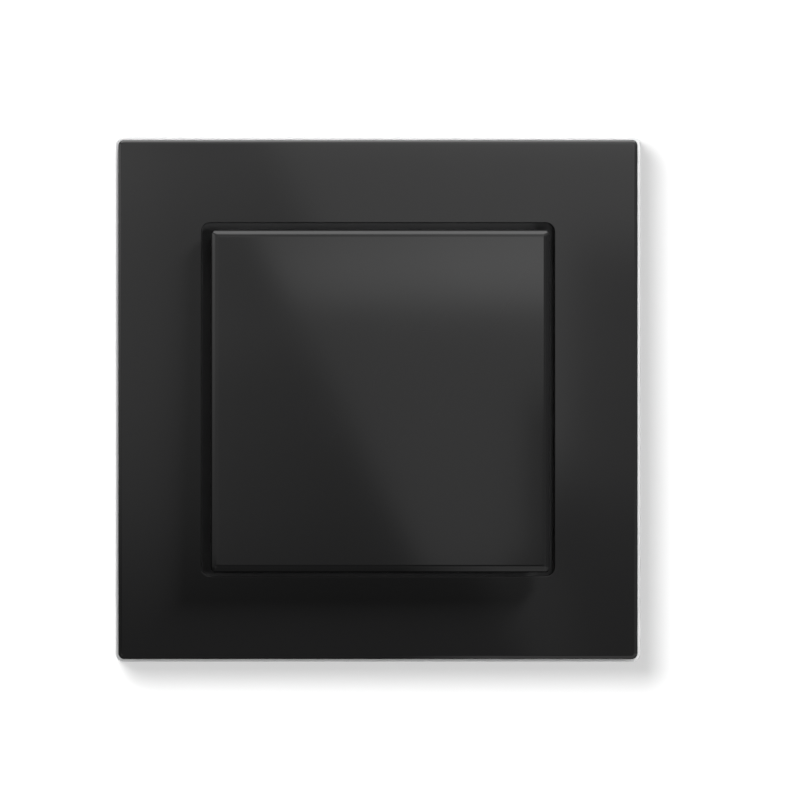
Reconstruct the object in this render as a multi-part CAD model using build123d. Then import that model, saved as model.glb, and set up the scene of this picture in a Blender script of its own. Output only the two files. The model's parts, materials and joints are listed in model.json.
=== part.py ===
from build123d import *
import math
import os

# Self-powered wall button in the 55 mm format: a push plate hinged at its top, over a radio
# module that a swinging armature feeds. All sizes are in millimetres and degrees.
# The wall is the plane Y = 0 and the button faces -Y, so a depth is a distance out from the
# wall. X runs right and Z runs up, both from the middle of the wall plate.

# Radio module case
module_size = 39.6
module_corner = 1.2
module_wall = 0.8
module_floor = 0.8
cover_thickness = 0.8
cover_edge = 0.4
cover_rib = 0.3
case_screw_inset = 2.2
case_post_radius = 1.7
case_screw_radius = 0.8
case_screw_hole_radius = 0.95
case_screw_depth = 7.0
case_head_radius = 1.5
case_head_height = 0.7
case_head_sink = 0.1
case_recess_width = 0.4
case_recess_length = 1.8
case_recess_depth = 0.35
module_lug_reach = 1.0
module_lug_length = 16.0
module_lug_thickness = 0.8

# Circuit board and what is soldered to it
board_standoff = 0.2
board_thickness = 0.6
board_edge_gap = 0.3
board_ledge_width = 1.8
board_ledge_length = 24.0
board_hole_gap = 0.3
chip_size = 4.8
chip_height = 0.9
chip_up = 6.5
chip_pad_width = 0.35
chip_pad_pitch = 0.8
chip_pad_height = 0.3
chip_pads_per_side = 4
crystal_length = 3.2
crystal_width = 2.4
crystal_height = 0.7
crystal_corner = 0.4
crystal_edge = 0.12
crystal_up = 1.0
capacitor_radius = 2.2
capacitor_height = 5.0
capacitor_foot_size = 4.8
capacitor_foot_height = 0.5
capacitor_foot_corner = 0.6
capacitor_edge = 0.35
capacitor_down = 7.5
diode_length = 2.4
diode_width = 1.3
diode_height = 1.0
diode_pitch = 2.2
diode_count = 4
diode_up = 5.0
chip_part_length = 1.1
chip_part_width = 0.6
chip_part_height = 0.5
chip_part_pitch = 1.5
chip_part_rows = 5
chip_part_columns = 2
chip_part_spread = 2.2
chip_part_down = 8.0
side_bay_clearance = 0.6
antenna_radius = 0.3
antenna_length = 25.0
antenna_rise = 3.4
antenna_bend = 1.2
antenna_edge = 0.9

# Generator: two pole shoes clamp the magnets and the bobbin, and the armature swings between
shoe_gap = 0.2
shoe_thickness = 0.8
shoe_corner = 0.75
pad_length = 3.8
pad_width = 7.0
magnet_width = 3.0
magnet_height = 5.2
magnet_length = 12.0
magnet_gap = 0.4
bobbin_length = 16.0
bobbin_flange = 0.8
bobbin_width = 10.0
bobbin_wall = 0.5
bobbin_side_gap = 0.3
bobbin_swing_gap = 0.13
winding_inset = 0.4
winding_corner = 1.2
armature_width = 5.0
armature_thickness = 1.0
armature_grip = 1.4
pole_clearance = 0.07
terminal_radius = 0.3
terminal_step = 1.0
terminal_inset = 0.6
terminal_hole_radius = 0.8
terminal_bend = 0.5
terminal_rise = 1.3
pillar_radius = 1.0
pillar_inset_x = 2.0
pillar_inset_z = 2.8

# Swinging frame that carries the armature
swing_bar_width = 1.8
swing_bar_thickness = 2.0
swing_corner = 0.6
swing_side_gap = 0.6
swing_end_gap = 0.4
swing_end_width = 2.4
swing_case_gap = 1.0
trunnion_radius = 0.9
trunnion_length = 1.5
trunnion_clearance = 0.05
bearing_gap = 0.3
bearing_thickness = 1.6
bearing_wall = 1.0
tongue_gap = 0.05
post_width = 8.0
post_proud = 0.7
post_end_gap = 0.4
post_slot_gap = 0.7
post_side_gap = 0.3
drive_gap = 0.08
drive_pad_margin = 0.3

# Leaf spring under the swinging frame
leaf_thickness = 0.2
leaf_width = 1.8
leaf_half_span = 9.5
leaf_gap = 0.08
leaf_boss_radius = 1.3
leaf_boss_height = 1.0
leaf_peg_radius = 0.5
leaf_peg_height = 0.8
leaf_hole_gap = 0.05

# Button travel: the plate rests leaning out at its foot and is pressed past upright
lean = 1.0
press_travel = 2.2
tray_clearance = 0.2

# Carrier frame round the module, and the springs and stops that stand on its floor
case_side_gap = 0.2
spring_diameter = 4.0
spring_wire = 0.4
spring_side_gap = 0.2
spring_turns = 6.5
spring_end_gap = 0.05
spring_peg_gap = 0.3
spring_peg_height = 1.0
spring_side_inset = 3.8
carrier_wall = 1.4
carrier_floor = 1.2
carrier_height = 5.0
carrier_corner = 1.6
carrier_flange = 1.6
flange_side_gap = 0.3
bumper_spring_pitch = 6.5
bumper_radius = 1.75
bumper_height = 1.8
bumper_stem_radius = 0.8
bumper_stem_length = 1.5
bumper_gap = 0.15
bumper_edge = 0.35
module_hook_gap = 0.2
module_hook_thickness = 0.8
module_hook_width = 10.0
module_hook_nose = 0.9

# Hinge at the top of the button
hinge_pin_radius = 0.9
hinge_clearance = 0.05
hinge_lug_radius = 1.6
hinge_lug_width = 1.6
hinge_side_gap = 0.3
hinge_side_inset = 5.5
hinge_pin_proud = 0.3
hinge_pin_chamfer = 0.15
hinge_edge_gap = 0.3
hinge_tray_gap = 1.4

# Catches that hold the button's foot
catch_width = 3.0
catch_thickness = 1.0
catch_wall_gap = 0.3
catch_nose_reach = 1.0
catch_nose_height = 0.8
catch_gap = 0.1
catch_side_gap = 0.4
catch_corner_gap = 0.2
catch_lintel = 0.8

# Button: tray, bond and cap
tray_thickness = 1.2
tray_corner = 1.2
tray_inset = 0.45
skirt_thickness = 0.9
skirt_height = 2.6
bond_thickness = 0.2
bond_inset = 2.6
cap_thickness = 2.0
cap_gap_x = 1.1
cap_gap_z = 0.8
cap_corner = 0.7
cap_edge = 1.1
cap_right = 0.36
cap_down = 0.35

# Trim frame and the plate on it
lip_side_gap = 0.4
lip_width = 2.0
lip_thickness = 1.4
glass_overhang = 0.45
glass_border = 12.95
glass_thickness = 3.2
glass_corner = 0.9
glass_edge = 0.85
opening_corner = 1.4
opening_edge = 0.4
trim_reveal = 0.45
trim_wall = 1.6
trim_plate = 1.6
trim_edge = 0.25
trim_inner_wall = 1.4
trim_mid_wall = 1.2
trim_mid_inset = 5.75
trim_wall_gap = 0.4
trim_flange_gap = 1.2
trim_rib = 1.2
trim_rib_across = 15.0
trim_rib_height = 2.4

# Wall plate
plate_thickness = 2.0
plate_web = 0.8
plate_inset = 5.45
plate_corner = 4.0
plate_recess_gap = 0.4
plate_rim_width = 1.6
plate_rim_height = 1.0
wall_screw_circle = 60.0
wall_screw_radius = 2.0
wall_screw_count = 4
countersink_radius = 3.6
countersink_height = 1.0
pad_thickness = 0.8
adhesive_width = 10.0
adhesive_length = 22.0
adhesive_inset = 1.5
adhesive_end_inset = 6.5
plate_hook_gap = 0.2
plate_hook_thickness = 1.2
plate_hook_width = 8.0
plate_hook_reach = 0.9
plate_hook_nose = 0.8
plate_hook_sill = 0.3
plate_hook_window_gap = 0.4

# Places seen from the front, from the module outwards
module_half = module_size / 2
strip = spring_diameter + 2 * spring_side_gap
carrier_inner = module_half + strip
carrier_outer = carrier_inner + carrier_wall
lip_inner = carrier_outer + lip_side_gap
trim_hole = lip_inner + lip_width
flange_outer = trim_hole - flange_side_gap
opening_half = trim_hole - glass_overhang
glass_half = opening_half + glass_border
trim_half = glass_half + trim_reveal
plate_half = trim_half - plate_inset
cap_width = 2 * (opening_half - cap_gap_x)
cap_height = 2 * (opening_half - cap_gap_z)
tray_half = opening_half - cap_gap_x - tray_inset
hinge_up = tray_half - skirt_thickness - hinge_edge_gap - hinge_lug_radius
hinge_across = tray_half - hinge_side_inset
strip_middle = module_half + strip / 2
spring_across = module_half - spring_side_inset
bumper_across = spring_across - bumper_spring_pitch
catch_side = carrier_inner - carrier_corner / 2 - catch_corner_gap - catch_side_gap
catch_across = catch_side - catch_width / 2

# Length of the generator, from the case's inner wall inwards
swing_end = module_half - module_wall - swing_case_gap
swing_end_start = swing_end - swing_end_width
shoe_length = 2 * (swing_end_start - swing_end_gap)

# Depths of the radio module
base_back = plate_web
floor_top = base_back + module_floor
board_back = floor_top + board_standoff
board_front = board_back + board_thickness
rear_shoe_back = board_front + shoe_gap
rear_shoe_front = rear_shoe_back + shoe_thickness
front_shoe_back = rear_shoe_front + magnet_height
front_shoe_front = front_shoe_back + shoe_thickness
swing_depth = (rear_shoe_front + front_shoe_back) / 2
cover_back = front_shoe_front + cover_rib
module_front = cover_back + cover_thickness
case_split = swing_depth

# Swing: the post stands over the foot of the frame, and the button drives it
post_radius = (swing_end_width - post_end_gap) / 2
press_down = swing_end - post_radius
swing_ratio = (hinge_up + press_down) / press_down
swing_travel = swing_ratio * press_travel
swing_rest = -swing_travel / 2
post_top = module_front + post_proud

# Depths of the button, upright
foot_in = math.sin(math.radians(press_travel - lean))
tray_back = module_front + tray_clearance + (hinge_up + module_half) * foot_in
tray_front = tray_back + tray_thickness
cap_back = tray_front + bond_thickness
cap_front = cap_back + cap_thickness
hinge_depth = tray_back - hinge_tray_gap - hinge_lug_radius

# Depths of the carrier, the trim and the plate on it
carrier_top = plate_thickness + carrier_height
seat = plate_thickness + carrier_floor
lip_back = plate_thickness + plate_rim_height
lip_front = lip_back + lip_thickness
flange_front = lip_front + carrier_flange
hook_sill = lip_front + plate_hook_sill
trim_plate_back = flange_front + trim_flange_gap
trim_front = trim_plate_back + trim_plate
glass_back = trim_front + bond_thickness
glass_front = glass_back + glass_thickness

out_of_wall = (Align.CENTER, Align.CENTER, Align.MIN)


def front(depth):
    return Plane.XZ.offset(depth)


def slab(size_x, size_z, near, far, corner=0.0, x=0.0, z=0.0):
    # Plate parallel to the wall, between two depths
    outline = RectangleRounded(size_x, size_z, corner) if corner else Rectangle(size_x, size_z)
    return extrude(front(near) * Pos(x, z) * outline, amount=far - near)


def bar(x_low, x_high, near, far, z_low, z_high):
    # Block between two sides, two depths and two heights
    middle_x = (x_low + x_high) / 2
    middle_z = (z_low + z_high) / 2
    return slab(abs(x_high - x_low), z_high - z_low, near, far, 0.0, middle_x, middle_z)


def ring(outer, outer_corner, inner, inner_corner, near, far):
    # Square ring, given by its half sizes
    hole = slab(2 * inner, 2 * inner, near, far, inner_corner)
    return slab(2 * outer, 2 * outer, near, far, outer_corner) - hole


def stud(radius, near, far, x=0.0, z=0.0):
    # Round pin that stands out of the wall
    return front(near) * Pos(x, z) * Cylinder(radius, far - near, align=out_of_wall)


def flare(near_radius, far_radius, near, far, x, z):
    return front(near) * Pos(x, z) * Cone(near_radius, far_radius, far - near, align=out_of_wall)


def rod(radius, x_low, x_high, depth, z):
    # Round pin that lies across, along X
    return Plane.YZ.offset(x_low) * Pos(-depth, z) * Cylinder(
        radius, x_high - x_low, align=out_of_wall
    )


def side_prism(points, z_low, z_high):
    # Outline of (x, depth) points, extruded upwards
    outline = make_face(Polyline(*[(x, -depth) for x, depth in points], close=True))
    return extrude(Plane.XY.offset(z_low) * outline, amount=z_high - z_low, dir=(0, 0, 1))


def foot_prism(points, x_low, x_high):
    # Outline of (depth, z) points, extruded to the right
    outline = make_face(Polyline(*[(-depth, z) for depth, z in points], close=True))
    return extrude(Plane.YZ.offset(x_low) * outline, amount=x_high - x_low, dir=(1, 0, 0))


def turned(shape, depth, z, degrees):
    # Turns a shape about the line along X at this depth and height
    return Pos(0, -depth, z) * Rot(X=degrees) * Pos(0, depth, -z) * shape


def front_face(shape):
    return shape.faces().sort_by(Axis.Y)[0]


def corners(half_x, half_z):
    return [(x, z) for x in (-half_x, half_x) for z in (-half_z, half_z)]


# Wall side


def wall_screw_places():
    places = []
    for i in range(wall_screw_count):
        angle = 2 * math.pi * i / wall_screw_count
        radius = wall_screw_circle / 2
        places.append((radius * math.cos(angle), radius * math.sin(angle)))
    return places


def adhesive_places():
    across = plate_half - adhesive_inset - adhesive_width / 2
    return corners(across, plate_half - adhesive_end_inset - adhesive_length / 2)


def make_plate_hook(side):
    # Sprung tongue whose nose snaps over the sill of a window in the carrier's wall
    outside = carrier_inner - plate_hook_gap
    inside = outside - plate_hook_thickness
    nose_end = hook_sill + plate_hook_nose
    points = [
        (side * inside, plate_thickness),
        (side * outside, plate_thickness),
        (side * outside, hook_sill),
        (side * (outside + plate_hook_reach), hook_sill),
        (side * (outside + plate_hook_reach), hook_sill + plate_hook_nose / 2),
        (side * outside, nose_end),
        (side * inside, nose_end),
    ]
    return side_prism(points, -plate_hook_width / 2, plate_hook_width / 2)


def make_wall_plate():
    body = slab(2 * plate_half, 2 * plate_half, 0, plate_thickness, plate_corner)
    recess = module_size + plate_recess_gap
    body -= slab(recess, recess, plate_web, plate_thickness, module_corner)
    for x, z in adhesive_places():
        body -= slab(adhesive_width, adhesive_length, 0, pad_thickness, 0.0, x, z)
    rim_inner = flange_outer - plate_rim_width
    body += ring(flange_outer, carrier_corner, rim_inner, carrier_corner, plate_thickness, lip_back)
    for x, z in wall_screw_places():
        body -= stud(wall_screw_radius, 0, plate_thickness, x, z)
        sink_start = plate_thickness - countersink_height
        body -= flare(wall_screw_radius, countersink_radius, sink_start, plate_thickness, x, z)
        body -= stud(countersink_radius, plate_thickness, lip_back, x, z)
    for side in (-1, 1):
        body += make_plate_hook(side)
    return body


def make_adhesive_pads():
    pads = []
    for x, z in adhesive_places():
        pads.append(slab(adhesive_width, adhesive_length, 0, pad_thickness, 0.0, x, z))
    return Compound(children=pads)


# Trim frame and the plate bonded to it


def make_trim_frame():
    corner = glass_corner + trim_reveal
    body = slab(2 * trim_half, 2 * trim_half, trim_wall_gap, trim_front, corner)
    body = fillet(front_face(body).edges(), trim_edge)
    hollow = 2 * (trim_half - trim_wall)
    body -= slab(hollow, hollow, trim_wall_gap, trim_plate_back)
    inner_wall = trim_hole + trim_inner_wall
    body += ring(inner_wall, carrier_corner, trim_hole, carrier_corner, lip_back, trim_plate_back)
    mid_outer = trim_half - trim_mid_inset
    mid_inner = mid_outer - trim_mid_wall
    body += ring(mid_outer, carrier_corner, mid_inner, carrier_corner,
                 plate_thickness, trim_plate_back)
    rib_back = trim_plate_back - trim_rib_height
    for across in (-trim_rib_across, trim_rib_across):
        for side in (-1, 1):
            low, high = sorted((side * (trim_hole + trim_inner_wall), side * (trim_half - trim_wall)))
            edge = trim_rib / 2
            body += bar(low, high, rib_back, trim_plate_back, across - edge, across + edge)
            body += bar(across - edge, across + edge, rib_back, trim_plate_back, low, high)
    body -= slab(2 * trim_hole, 2 * trim_hole, lip_front, trim_front, carrier_corner)
    body += ring(inner_wall, carrier_corner, lip_inner, carrier_corner, lip_back, lip_front)
    return body


def make_frame_bond():
    outer = glass_half - trim_reveal - glass_corner
    return ring(outer, glass_corner, trim_hole + trim_inner_wall, carrier_corner,
                trim_front, glass_back)


def make_frame_glass():
    body = ring(glass_half, glass_corner, opening_half, opening_corner, glass_back, glass_front)
    body = fillet(front_face(body).outer_wire().edges(), glass_edge)
    return fillet(front_face(body).inner_wires()[0].edges(), opening_edge)


# Carrier frame


def make_hinge_ears():
    ears = []
    step = hinge_lug_width + hinge_side_gap
    for side in (-1, 1):
        for place in (-step, step):
            middle = side * hinge_across + place
            low = middle - hinge_lug_width / 2
            high = middle + hinge_lug_width / 2
            ear = bar(low, high, plate_thickness, hinge_depth,
                      hinge_up - hinge_lug_radius, hinge_up + hinge_lug_radius)
            ear += rod(hinge_lug_radius, low, high, hinge_depth, hinge_up)
            ears.append(ear - rod(hinge_pin_radius, low, high, hinge_depth, hinge_up))
    return ears


def make_module_hook(side):
    # Tongue of the carrier whose nose holds the lug on the side of the module
    inside = module_half + module_lug_reach + module_hook_gap
    outside = inside + module_hook_thickness
    nose = seat + module_lug_thickness
    points = [
        (side * inside, seat),
        (side * outside, seat),
        (side * outside, nose + module_hook_nose),
        (side * inside, nose + module_hook_nose),
        (side * (inside - module_hook_thickness), nose + module_hook_nose / 3),
        (side * (inside - module_hook_thickness), nose),
        (side * inside, nose),
    ]
    return side_prism(points, -module_hook_width / 2, module_hook_width / 2)


def plate_hook_windows(side):
    # Room for the wall plate's tongue in the carrier's floor and wall
    half = plate_hook_width / 2 + plate_hook_window_gap
    inside = carrier_inner - plate_hook_gap - plate_hook_thickness - plate_hook_window_gap
    floor_hole = bar(side * inside, side * carrier_inner, plate_thickness, seat, -half, half)
    wall_hole = bar(side * carrier_inner, side * carrier_outer, hook_sill,
                    hook_sill + plate_hook_nose + plate_hook_window_gap, -half, half)
    return floor_hole + wall_hole


def bumper_back():
    # The button's foot stops on the bumper at full travel
    stop = tray_back - (hinge_up + strip_middle) * foot_in
    return stop - bumper_gap - bumper_height


def make_carrier_frame():
    inner = carrier_inner
    body = ring(carrier_outer, carrier_corner, module_half + case_side_gap, module_corner,
                plate_thickness, seat)
    body += ring(carrier_outer, carrier_corner, inner, carrier_corner / 2, seat, carrier_top)
    body += ring(flange_outer, carrier_corner, inner, carrier_corner / 2, lip_front, flange_front)
    for ear in make_hinge_ears():
        body += ear
    for side in (-1, 1):
        body += make_module_hook(side)
        body -= plate_hook_windows(side)
        half = catch_width / 2 + catch_side_gap
        body -= bar(side * catch_across - half, side * catch_across + half,
                    seat, carrier_top - catch_lintel, -carrier_outer, -inner)
        body += stud(spring_peg_radius(), seat, seat + spring_peg_height,
                     side * spring_across, -strip_middle)
        body += stud(bumper_radius, seat, bumper_back(), side * bumper_across, -strip_middle)
        body -= stud(bumper_stem_radius, bumper_back() - bumper_stem_length, bumper_back(),
                     side * bumper_across, -strip_middle)
    return body


def make_bumper(side):
    back = bumper_back()
    x = side * bumper_across
    pad = stud(bumper_radius, back, back + bumper_height, x, -strip_middle)
    pad = fillet(front_face(pad).edges(), bumper_edge)
    return pad + stud(bumper_stem_radius, back - bumper_stem_length, back, x, -strip_middle)


def make_hinge_pin(side):
    half = 1.5 * hinge_lug_width + hinge_side_gap + hinge_pin_proud
    middle = side * hinge_across
    pin = rod(hinge_pin_radius, middle - half, middle + half, hinge_depth, hinge_up)
    ends = pin.edges().filter_by(GeomType.CIRCLE)
    return chamfer(ends, hinge_pin_chamfer)


# Button springs


def spring_peg_radius():
    return spring_diameter / 2 - spring_wire - spring_peg_gap


def spring_front():
    lean_out = math.sin(math.radians(lean))
    plane = tray_back + (hinge_up + strip_middle - spring_diameter / 2) * lean_out
    return plane - spring_end_gap


def make_button_spring(side):
    # One unbroken helix of round wire between the carrier's floor and the tray
    coil_radius = (spring_diameter - spring_wire) / 2
    height = spring_front() - seat - spring_wire
    path = Helix(height / spring_turns, height, coil_radius)
    section = Plane(origin=path @ 0, z_dir=path % 0) * Circle(spring_wire / 2)
    coil = sweep(section, path=path, is_frenet=True)
    return front(seat + spring_wire / 2) * Pos(side * spring_across, -strip_middle) * coil


def print_spring_gap():
    # Least distance between the surfaces of two turns, measured on points of the centre line
    coil_radius = (spring_diameter - spring_wire) / 2
    height = spring_front() - seat - spring_wire
    steps = 72
    points = []
    for i in range(int(spring_turns * steps) + 1):
        angle = 2 * math.pi * i / steps
        rise = height * i / (spring_turns * steps)
        points.append((coil_radius * math.cos(angle), coil_radius * math.sin(angle), rise))
    least = min(
        math.dist(points[i], points[j])
        for i in range(len(points))
        for j in range(i + steps // 2, len(points))
    )
    print("least gap between spring turns", round(least - spring_wire, 3), "mm")


# Button


def catch_nose_front():
    lean_out = math.sin(math.radians(lean))
    reach = hinge_up + carrier_inner + catch_nose_reach
    return carrier_top - catch_lintel - catch_gap - reach * lean_out


def drive_pad_back():
    # The post's round top at rest, seen from the upright tray, which the drive pad just clears
    rest = math.radians(swing_rest)
    arm = post_top - post_radius - swing_depth
    out = swing_depth + arm * math.cos(rest) - press_down * math.sin(rest)
    up = -press_down * math.cos(rest) - arm * math.sin(rest)
    back = math.radians(lean)
    upright = (out - hinge_depth) * math.cos(back) + (up - hinge_up) * math.sin(back)
    return hinge_depth + upright + post_radius + drive_gap


def make_catch(side):
    outside = carrier_inner - catch_wall_gap
    nose = catch_nose_front()
    points = [
        (tray_back, -outside),
        (nose, -outside),
        (nose, -(outside + catch_nose_reach)),
        (nose - catch_nose_height / 2, -(outside + catch_nose_reach)),
        (nose - catch_nose_height, -outside),
        (nose - catch_nose_height, -(outside - catch_thickness)),
        (tray_back, -(outside - catch_thickness)),
    ]
    middle = side * catch_across
    return foot_prism(points, middle - catch_width / 2, middle + catch_width / 2)


def make_button_tray():
    size = 2 * tray_half
    body = slab(size, size, tray_back, tray_front, tray_corner)
    body += ring(tray_half, tray_corner, tray_half - skirt_thickness, tray_corner / 2,
                 tray_back - skirt_height, tray_back)
    pad_half = post_radius + drive_pad_margin
    body += bar(-post_width / 2, post_width / 2, drive_pad_back(), tray_back,
                -press_down - pad_half, -press_down + pad_half)
    for side in (-1, 1):
        low = side * hinge_across - hinge_lug_width / 2
        high = side * hinge_across + hinge_lug_width / 2
        body += bar(low, high, hinge_depth, tray_back,
                    hinge_up - hinge_lug_radius, hinge_up + hinge_lug_radius)
        body += rod(hinge_lug_radius, low, high, hinge_depth, hinge_up)
        body -= rod(hinge_pin_radius + hinge_clearance, low, high, hinge_depth, hinge_up)
        body += make_catch(side)
        body += stud(spring_peg_radius(), tray_back - spring_peg_height, tray_back,
                     side * spring_across, -strip_middle)
    return body


def make_button_bond():
    size_x = cap_width - 2 * bond_inset
    size_z = cap_height - 2 * bond_inset
    return slab(size_x, size_z, tray_front, cap_back, cap_edge, cap_right, -cap_down)


def make_button_cap():
    cap = slab(cap_width, cap_height, cap_back, cap_front, 0.0, cap_right, -cap_down)
    cap = fillet(front_face(cap).edges(), cap_edge)
    upright_edges = cap.edges().filter_by(Axis.Y)
    return fillet(upright_edges, cap_corner)


def leaning(shape):
    return turned(shape, hinge_depth, hinge_up, -lean)


# Module case


def case_screw_places():
    return corners(module_half - case_screw_inset, module_half - case_screw_inset)


def pillar_places():
    return corners(shoe_half_width() - pillar_inset_x, shoe_length / 2 - pillar_inset_z)


def shoe_half_width():
    return bobbin_width / 2 + magnet_gap + magnet_width


def swing_half_width():
    return shoe_half_width() + swing_side_gap + swing_bar_width


def bearing_inside():
    return swing_half_width() + bearing_gap


def bearing_bore():
    return trunnion_radius + trunnion_clearance


def make_bearing_post(side):
    # Open saddle for one trunnion, which the cover's tongue closes
    low, high = sorted((side * bearing_inside(), side * (bearing_inside() + bearing_thickness)))
    half = bearing_bore() + bearing_wall
    top = swing_depth + half
    post = bar(low, high, floor_top, top, -half, half)
    post -= rod(bearing_bore(), low, high, swing_depth, 0)
    return post - bar(low, high, swing_depth, top, -bearing_bore(), bearing_bore())


def make_module_base():
    body = slab(module_size, module_size, base_back, floor_top, module_corner)
    body += ring(module_half, module_corner, module_half - module_wall, module_corner / 2,
                 floor_top, case_split)
    for x, z in case_screw_places():
        body += stud(case_post_radius, floor_top, case_split, x, z)
    for x, z in pillar_places():
        body += stud(pillar_radius, floor_top, rear_shoe_back, x, z)
    body += stud(leaf_boss_radius, floor_top, floor_top + leaf_boss_height, 0, -press_down)
    body += stud(leaf_peg_radius, floor_top, floor_top + leaf_boss_height + leaf_peg_height,
                 0, -press_down)
    inner = module_half - module_wall
    for side in (-1, 1):
        body += make_bearing_post(side)
        low, high = sorted((side * inner, side * (inner - board_ledge_width)))
        half = board_ledge_length / 2
        body += bar(low, high, floor_top, board_back, -half, half)
        low, high = sorted((side * (module_half - module_wall), side * (module_half + module_lug_reach)))
        half = module_lug_length / 2
        body += bar(low, high, seat, seat + module_lug_thickness, -half, half)
    screw_tip = module_front - case_head_sink - case_head_height - case_screw_depth
    for x, z in case_screw_places():
        body -= stud(case_screw_radius, screw_tip, case_split, x, z)
    return body


def make_tongue(side):
    low, high = sorted((side * bearing_inside(), side * (bearing_inside() + bearing_thickness)))
    half = bearing_bore() - tongue_gap
    tongue = bar(low, high, swing_depth, cover_back, -half, half)
    return tongue - rod(bearing_bore(), low, high, swing_depth, 0)


def make_module_cover():
    body = slab(module_size, module_size, case_split, module_front, module_corner)
    body = fillet(front_face(body).edges(), cover_edge)
    hollow = module_size - 2 * module_wall
    body -= slab(hollow, hollow, case_split, cover_back, module_corner / 2)
    for x, z in case_screw_places():
        body += stud(case_post_radius, case_split, cover_back, x, z)
    for x, z in pillar_places():
        body += stud(pillar_radius, front_shoe_front, cover_back, x, z)
    for side in (-1, 1):
        body += make_tongue(side)
    slot_half = post_radius + post_slot_gap
    body -= bar(-post_width / 2 - post_side_gap, post_width / 2 + post_side_gap, cover_back,
                module_front, -press_down - slot_half, -press_down + slot_half)
    head_front = module_front - case_head_sink
    for x, z in case_screw_places():
        body -= stud(case_screw_hole_radius, case_split, head_front, x, z)
        body -= flare(case_screw_radius, case_head_radius, head_front - case_head_height,
                      head_front, x, z)
        body -= stud(case_head_radius, head_front, module_front, x, z)
    return body


def make_module_screws():
    screws = []
    head_front = module_front - case_head_sink
    head_back = head_front - case_head_height
    recess_arms = [
        (case_recess_length, case_recess_width),
        (case_recess_width, case_recess_length),
    ]
    for x, z in case_screw_places():
        screw = stud(case_screw_radius, head_back - case_screw_depth, head_back, x, z)
        screw += flare(case_screw_radius, case_head_radius, head_back, head_front, x, z)
        for size_x, size_z in recess_arms:
            screw -= slab(size_x, size_z, head_front - case_recess_depth, head_front, 0.0, x, z)
        screws.append(screw)
    return Compound(children=screws)


# Electronics


def side_bay_middle():
    inside = bearing_inside() + bearing_thickness
    return (inside + module_half - module_wall - side_bay_clearance) / 2


def terminal_x():
    return bobbin_width / 2 - terminal_inset


def terminal_up():
    return bobbin_length / 2 + terminal_step


def make_circuit_board():
    size = module_size - 2 * (module_wall + board_edge_gap)
    body = slab(size, size, board_back, board_front)
    notch = 2 * (case_post_radius + board_hole_gap)
    for x, z in case_screw_places():
        body -= slab(notch, notch, board_back, board_front, 0.0, x, z)
        reach_x = math.copysign(module_half, x)
        reach_z = math.copysign(module_half, z)
        low_x, high_x = sorted((x, reach_x))
        low_z, high_z = sorted((z, reach_z))
        body -= bar(low_x, high_x, board_back, board_front, low_z - notch / 2, high_z + notch / 2)
        body -= bar(low_x - notch / 2, high_x + notch / 2, board_back, board_front, low_z, high_z)
    for x, z in pillar_places():
        body -= stud(pillar_radius + board_hole_gap, board_back, board_front, x, z)
    body -= stud(leaf_boss_radius + board_hole_gap, board_back, board_front, 0, -press_down)
    half = bearing_bore() + bearing_wall + board_hole_gap
    for side in (-1, 1):
        low, high = sorted((side * (bearing_inside() - board_hole_gap),
                            side * (bearing_inside() + bearing_thickness + board_hole_gap)))
        body -= bar(low, high, board_back, board_front, -half, half)
        body -= stud(terminal_radius, board_back, board_front, side * terminal_x(), terminal_up())
    return body


def make_radio_chip():
    x = side_bay_middle()
    chip = slab(chip_size, chip_size, board_front, board_front + chip_height, 0.0, x, chip_up)
    step = chip_pad_pitch
    first = -step * (chip_pads_per_side - 1) / 2
    for i in range(chip_pads_per_side):
        place = first + i * step
        for side in (-1, 1):
            notch_z = chip_up + side * chip_size / 2
            chip -= slab(chip_pad_width, chip_pad_width, board_front, board_front + chip_pad_height,
                         0.0, x + place, notch_z)
            chip -= slab(chip_pad_width, chip_pad_width, board_front, board_front + chip_pad_height,
                         0.0, x + side * chip_size / 2, chip_up + place)
    return chip


def make_timing_crystal():
    can = slab(crystal_width, crystal_length, board_front, board_front + crystal_height,
               crystal_corner, side_bay_middle(), crystal_up)
    return fillet(front_face(can).edges(), crystal_edge)


def make_storage_capacitor():
    x = -side_bay_middle()
    foot_front = board_front + capacitor_foot_height
    foot = slab(capacitor_foot_size, capacitor_foot_size, board_front, foot_front,
                capacitor_foot_corner, x, -capacitor_down)
    can = stud(capacitor_radius, foot_front, foot_front + capacitor_height, x, -capacitor_down)
    can = fillet(front_face(can).edges(), capacitor_edge)
    return foot + can


def make_rectifier_diodes():
    diodes = []
    first = diode_up - diode_pitch * (diode_count - 1) / 2
    for i in range(diode_count):
        place = first + i * diode_pitch
        diodes.append(slab(diode_length, diode_width, board_front, board_front + diode_height,
                           0.0, -side_bay_middle(), place))
    return Compound(children=diodes)


def make_chip_parts():
    pieces = []
    for row in range(chip_part_rows):
        for column in range(chip_part_columns):
            x = side_bay_middle() + (column - (chip_part_columns - 1) / 2) * chip_part_spread
            z = -chip_part_down + (row - (chip_part_rows - 1) / 2) * chip_part_pitch
            pieces.append(slab(chip_part_length, chip_part_width, board_front,
                               board_front + chip_part_height, 0.0, x, z))
    return Compound(children=pieces)


def make_antenna_wire():
    # Wire arch along the board's right edge
    x = module_half - module_wall - board_edge_gap - antenna_edge
    top = board_front + antenna_rise
    half = antenna_length / 2
    points = [
        (x, -board_front, -half),
        (x, -top, -half),
        (x, -top, half),
        (x, -board_front, half),
    ]
    path = FilletPolyline(*points, radius=antenna_bend)
    section = Plane(origin=path @ 0, z_dir=path % 0) * Circle(antenna_radius)
    return sweep(section, path=path)


# Generator


def armature_half_height(reach):
    # How far from the middle the armature's skin comes, this far along it, at full swing
    swing = math.radians(abs(swing_rest))
    return reach * math.sin(swing) + armature_thickness / 2 * math.cos(swing)


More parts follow.
